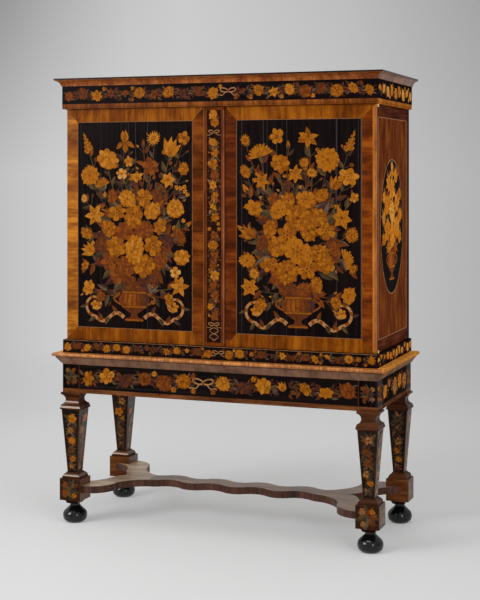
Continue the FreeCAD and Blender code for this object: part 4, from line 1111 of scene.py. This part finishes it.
def leg_inlays():
    for index, corner in enumerate(CORNERS):
        lowest, highest = low(f"leg_{corner}"), high(f"leg_{corner}")
        centre = ((lowest.x + highest.x) / 2, (lowest.y + highest.y) / 2)
        outward = -1 if "left" in corner else 1
        for order, right in enumerate((RIGHT, (0, outward, 0), (0, -outward, 0))):
            out = Vector(right).cross(Vector(UP))
            seed = 60 + 3 * index + order
            shaft_inlay(Vector((*centre, 0)), right, out, seed)
            # The inner face of a leg and the front of a back one have no posies.
            if order == 2 or (order == 0 and corner.startswith("back")):
                continue
            half, tall = POST_HALF * 0.9, (highest.z - band_top) / 2 * 0.92
            middle = Vector((*centre, (band_top + highest.z) / 2)) + out * POST_HALF
            posy(Ground(CASE, middle, right), half, tall, 80 + seed)
            half, tall = BLOCK_HALF * 0.98, (block_high - block_low) / 2 * 0.98
            middle = Vector((*centre, (block_low + block_high) / 2)) + out * BLOCK_HALF
            ground = Ground(CASE, middle, right, aside=SHEEN)
            ground.plate([(-half, -tall), (half, -tall), (half, tall), (-half, tall)], "shade", -1)
            posy(ground, half * 0.95, tall * 0.95, 90 + seed)


def shaft_inlay(axis, right, out, seed):
    # Flowers up a face that widens from its foot to its top, between two thin lines.
    dice = random.Random(seed)
    foot = axis + Vector((0, 0, shaft_foot)) + out * SHAFT_FOOT_HALF
    top = axis + Vector((0, 0, shaft_top)) + out * SHAFT_TOP_HALF
    length = (top - foot).length

    def half_at(y):
        return SHAFT_FOOT_HALF + (SHAFT_TOP_HALF - SHAFT_FOOT_HALF) * y / length

    ground = Ground(CASE, foot, right, top - foot,
                    lambda x, y: 0 < y < length and abs(x) < half_at(y) - SHAFT_MARGIN, SHEEN)
    y = length * SHAFT_START
    side = -1
    while y < length * SHAFT_END:
        half = half_at(y)
        x = half * dice.uniform(0.05, 0.3) * side
        for lean in (-2.4, -1.7, -1.0, -0.4, 0.4, 1.0, 1.7, 2.4):
            leaf(ground, x, y - half * 0.1, half * dice.uniform(0.8, 1.3), dice.choice(LEG_LEAVES), lean, dice)
        kind = dice.choice(("rose", "anemone", "peony", "blossom", "bud"))
        size, tone = half * dice.uniform(0.44, 0.62), dice.choice(LEG_TONES)
        flower(ground, kind, x, y, size, tone, dice.uniform(-0.6, 0.6), dice)
        y += half * SHAFT_PITCH
        side = -side
    for side in (-1, 1):
        edge = [(side * (SHAFT_FOOT_HALF - SHAFT_LINE), 0), (side * (SHAFT_TOP_HALF - SHAFT_LINE), length)]
        ground.band(edge, SHAFT_LINE_WIDTH, "red_brown")


def posy(ground, half, tall, seed):
    # Four flowers round a tuft of leaves in a nearly square field.
    dice = random.Random(seed)
    for index in range(12):
        leaf(ground, 0, 0, half * dice.uniform(0.8, 1.2), dice.choice(LEG_LEAVES), index * math.pi / 6, dice)
    for index in range(4):
        angle = math.pi / 4 + index * math.pi / 2 + dice.uniform(-0.2, 0.2)
        x, y = math.sin(angle) * half * 0.72, math.cos(angle) * tall * 0.72
        kind = dice.choice(("rose", "anemone", "narcissus", "peony"))
        flower(ground, kind, x, y, half * dice.uniform(0.28, 0.36), dice.choice(POSY_TONES), angle, dice)


# Case sides: an oval of flowers on black inside a strung border. The flowers are as on the doors, in mm
# from the oval's middle.

OVAL_MIDDLE = (6 * MM, 1197.5 * MM)
OVAL_HALF = (172 * MM, 256 * MM)
OVAL_STEPS = 60
# The light rim's size in ovals, the urn's foot and scale, and how far under the middle the flowers spring from
OVAL_RIM = (1.02, 1.014)
OVAL_URN, OVAL_URN_SCALE = -206 * MM, 0.9 * MM
OVAL_SPRING = 90
SIDE_UPRIGHT_LINE, SIDE_LEVEL_LINE = 5 * MM, 2.4 * MM
OVAL_BLOOMS = (
    (0, -34, 58, "rose", "gold"), (-70, -10, 50, "anemone", "honey"), (70, -4, 50, "peony", "gold"),
    (0, 56, 56, "peony", "pale"), (-74, 84, 48, "rose", "honey"), (74, 90, 48, "narcissus", "gold"),
    (0, 142, 50, "anemone", "gold"), (-122, 36, 36, "daisy", "gold"), (124, 42, 36, "rose", "honey"),
    (-52, 170, 38, "lily", "gold"), (54, 172, 36, "tulip", "gold"), (0, 212, 32, "iris", "pale"),
    (-120, 116, 30, "blossom", "gold"), (120, 122, 30, "anemone", "amber"), (-118, -46, 32, "peony", "amber"),
    (118, -42, 32, "anemone", "honey"), (-46, -78, 34, "rose", "amber"), (48, -76, 34, "peony", "rust"),
)


def side_inlays():
    angles = [2 * math.pi * step / OVAL_STEPS for step in range(OVAL_STEPS)]
    oval = [(OVAL_HALF[0] * math.sin(angle), OVAL_HALF[1] * math.cos(angle)) for angle in angles]
    for side, sign, corner in zip(SIDES, (-1, 1), (low, high)):
        ground = Ground(CASE, (corner(f"case_{side}_side").x, *OVAL_MIDDLE), (0, sign, 0))
        ground.plate([(u * OVAL_RIM[0], v * OVAL_RIM[1]) for u, v in oval], "string", -2)
        ground.plate(oval, "ebony", -1)
        dice = random.Random(100 + len(side))
        urn(ground, 0, OVAL_URN, OVAL_URN_SCALE)
        for x, y, size, kind, tone in OVAL_BLOOMS:
            for lean in (-0.7, 0.0, 0.7):
                heading = math.atan2(x, y + OVAL_SPRING) + lean
                leaf(ground, x * MM, y * MM, size * 1.4 * MM, dice.choice(LEAF_TONES), heading, dice)
        for x, y, size, kind, tone in reversed(OVAL_BLOOMS):
            flower(ground, kind, x * MM, y * MM, size * MM, tone, math.atan2(x, y + OVAL_SPRING), dice)
        near, far = (sign * (line - OVAL_MIDDLE[0]) for line in (side_near, side_far))
        foot, top = (line - OVAL_MIDDLE[1] for line in (side_foot, side_top))
        ground.outline(near, far, foot, top, SIDE_UPRIGHT_LINE, SIDE_LEVEL_LINE)


# Layers over the flowers of the base band, for the line along its top
TOP_LAYER = 40
PANEL_LINE, POST_LINE = 1.8 * MM, 1.6 * MM
BASE_LINE, BASE_LINE_DROP = 2 * MM, 1.2 * MM


def stringing():
    # Thin lines round the door panels, along the base band and beside the leg posts.
    for door in DOORS:
        ground = Ground(door, (0, low(f"{door}_panel").y, 0))
        ground.outline(*panel_edges(door), PANEL_LINE, PANEL_LINE)
    band = low("base_band_front")
    edge = Ground(CASE, (0, band.y, high("base_band_front").z - BASE_LINE_DROP))
    edge.band([(band.x, 0), (-band.x, 0)], BASE_LINE, "string", TOP_LAYER)
    lowest, highest = low("apron_front"), high("apron_front")
    for x in (lowest.x, highest.x):
        ground = Ground(CASE, (x, lowest.y, 0))
        ground.band([(0, band_top), (0, highest.z)], POST_LINE, "rust")


# The name of each finish, and how much lighter its woods are painted: those at the sides are painted lighter, standing
# for the light that falls on the sides.
FINISHES_AND_PAINTED_LIGHT = {SHINY: ("front", 1.0), DULL: ("side", 2.2), SHEEN: ("leg_side", 1.6)}


def lay_inlays():
    materials = {}
    for (body, shade, finish), (vertices, faces) in gathered.items():
        place, lighter = FINISHES_AND_PAINTED_LIGHT[finish]
        name = f"{shade}_{place}"
        if name not in materials:
            # Woods on the sides are painted in lighter copies, for the light on the sides.
            materials[name] = inlay_wood(f"inlay_{name}", scaled(INLAY[shade], lighter), finish)
        mesh = bpy.data.meshes.new(f"inlay_{body}_{name}")
        mesh.from_pydata([tuple(vertex) for vertex in vertices], [], faces)
        mesh.materials.append(materials[name])
        mesh.update()
        piece = bpy.data.objects.new(mesh.name, mesh)
        bpy.context.scene.collection.objects.link(piece)
        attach(piece, body)


# Studio: floor, light and camera

# Greys of the backdrop, each with its place: the sine of its angle to the right of the view's middle
BACKDROP = ((-0.4, 209), (-0.24, 170), (-0.14, 204), (-0.08, 211), (0.08, 199), (0.2, 174), (0.4, 184))
# How much darker it gets towards the top of the view, from its left edge to its right one
TOP_SHADES = ((0.0, 0.54), (0.25, 0.2), (0.4, 0.06), (0.55, 0.08), (1.0, 0.2))
VIEW_EDGE = 0.2
# The way to the right of the view, the view's point over the floor, and how near to it the greys stop closing in
ASIDE = (0.935, 0.354, 0.0)
VIEWPOINT = (1.91, -5.03, 0.0)
NEAR = 8.0
FLOOR_SIZE = 400
FLOOR_GREY = (0.71, 0.71, 0.71, 1)
# The floor's own glow in shadow, and the ring in which it goes over into the backdrop
FLOOR_GLOW = 0.42
FADE_START, FADE_END = 2.2, 6.0


def vector(tree, operation, inputs, output="Vector"):
    return add(tree, "ShaderNodeVectorMath", inputs, operation).outputs[output]


def rightward(tree, way):
    # How far a way points to the right of the view.
    return vector(tree, "DOT_PRODUCT", {0: way, 1: ASIDE}, "Value")


def backdrop(tree, way):
    # Grey that changes from the left to the right of the view.
    start, end = BACKDROP[0][0], BACKDROP[-1][0]
    share = ranged(tree, rightward(tree, way), 0.0, 1.0, start, end)
    return ramp(tree, share, [((line - start) / (end - start), colour(grey, grey, grey)) for line, grey in BACKDROP])


def way_across(tree, place):
    # The way from the view's point to a place on the floor, shorter for places near to it.
    apart = vector(tree, "SUBTRACT", {0: place, 1: VIEWPOINT})
    farther = scalar(tree, "MAXIMUM", vector(tree, "LENGTH", {0: apart}, "Value"), NEAR)
    return vector(tree, "SCALE", {0: apart, "Scale": scalar(tree, "DIVIDE", 1.0, farther)})


def lay_floor():
    bpy.ops.mesh.primitive_plane_add(size=FLOOR_SIZE)
    floor = bpy.context.object
    floor.name = "floor"
    material, tree, shader = new_material("floor", 0.2)
    feed(tree, shader, {"Base Color": FLOOR_GREY, "Roughness": 0.85})
    place = object_place(tree)
    glow = add(tree, "ShaderNodeEmission", {"Color": backdrop(tree, way_across(tree, place))})
    fade = add(tree, "ShaderNodeMapRange", {"Value": vector(tree, "LENGTH", {0: place}, "Value"),
                                            "From Min": FADE_START, "From Max": FADE_END, "To Min": FLOOR_GLOW})
    fade.interpolation_type = "SMOOTHSTEP"
    blend = add(tree, "ShaderNodeMixShader", {0: fade.outputs["Result"], 1: shader.outputs["BSDF"],
                                              2: glow.outputs["Emission"]})
    feed(tree, tree.nodes["Material Output"], {"Surface": blend.outputs["Shader"]})
    floor.data.materials.append(material)


def hang_sky():
    world = bpy.data.worlds.new("studio")
    world.use_nodes = True
    tree = world.node_tree
    way = add(tree, "ShaderNodeTexCoord").outputs["Generated"]
    height = ranged(tree, component(tree, way, "Z"), 0.0, 1.0, 0.0, 0.3)
    rise = ramp(tree, height, [(0.0, BLACK), (0.45, WHITE), (1.0, BLACK)])
    side = ranged(tree, rightward(tree, way), 0.0, 1.0, -VIEW_EDGE, VIEW_EDGE)
    deepest = ramp(tree, side, [(place, (shade, shade, shade, 1)) for place, shade in TOP_SHADES])
    grey = mixed(tree, mixed(tree, rise, BLACK, deepest), backdrop(tree, way), BLACK)
    feed(tree, tree.nodes["Background"], {"Color": grey})
    bpy.context.scene.world = world


def softbox(name, place, target, size, power):
    light = bpy.data.lights.new(name, "AREA")
    light.shape = "RECTANGLE"
    light.size, light.size_y = size
    light.energy = power
    lamp = bpy.data.objects.new(name, light)
    lamp.location = place
    lamp.rotation_euler = (Vector(target) - Vector(place)).to_track_quat("-Z", "Y").to_euler()
    bpy.context.scene.collection.objects.link(lamp)


CAMERA_PLACE = (1.9103, -5.0262, 1.4007)
CAMERA_YAW = 20.754
PHOTO_WIDTH = 480
FOCAL_PIXELS = 1335.6
SENSOR_WIDTH = 36.0
SHIFT_PIXELS = (2.3, -126.2)


def camera():
    data = bpy.data.cameras.new("camera")
    data.sensor_fit = "HORIZONTAL"
    data.sensor_width = SENSOR_WIDTH
    data.lens = FOCAL_PIXELS * SENSOR_WIDTH / PHOTO_WIDTH
    data.shift_x, data.shift_y = (shift / PHOTO_WIDTH for shift in SHIFT_PIXELS)
    view = bpy.data.objects.new("camera", data)
    view.location = CAMERA_PLACE
    view.rotation_euler = (math.radians(90), 0, math.radians(CAMERA_YAW))
    bpy.context.scene.collection.objects.link(view)
    bpy.context.scene.camera = view


door_veneers()
case_veneers()
stand_veneers()
fittings()
panel_inlay(LEFT_DOOR, BLOOMS, SPRAYS, 3)
panel_inlay(RIGHT_DOOR, other_hand(BLOOMS), other_hand(SPRAYS), 7)
band_inlays()
strip_inlay()
leg_inlays()
side_inlays()
stringing()
lay_inlays()
lay_floor()
hang_sky()
softbox("key", (-3.6, -4.4, 3.4), (0, 0, 1.0), (2.4, 3.0), 190)
softbox("fill", (4.2, -4.6, 2.4), (0, 0, 1.0), (1.6, 3.0), 60)
softbox("top", (0.5, -0.8, 4.4), (0, 0, 0.6), (3.0, 2.0), 70)
camera()
bpy.context.scene.view_settings.view_transform = "Standard"
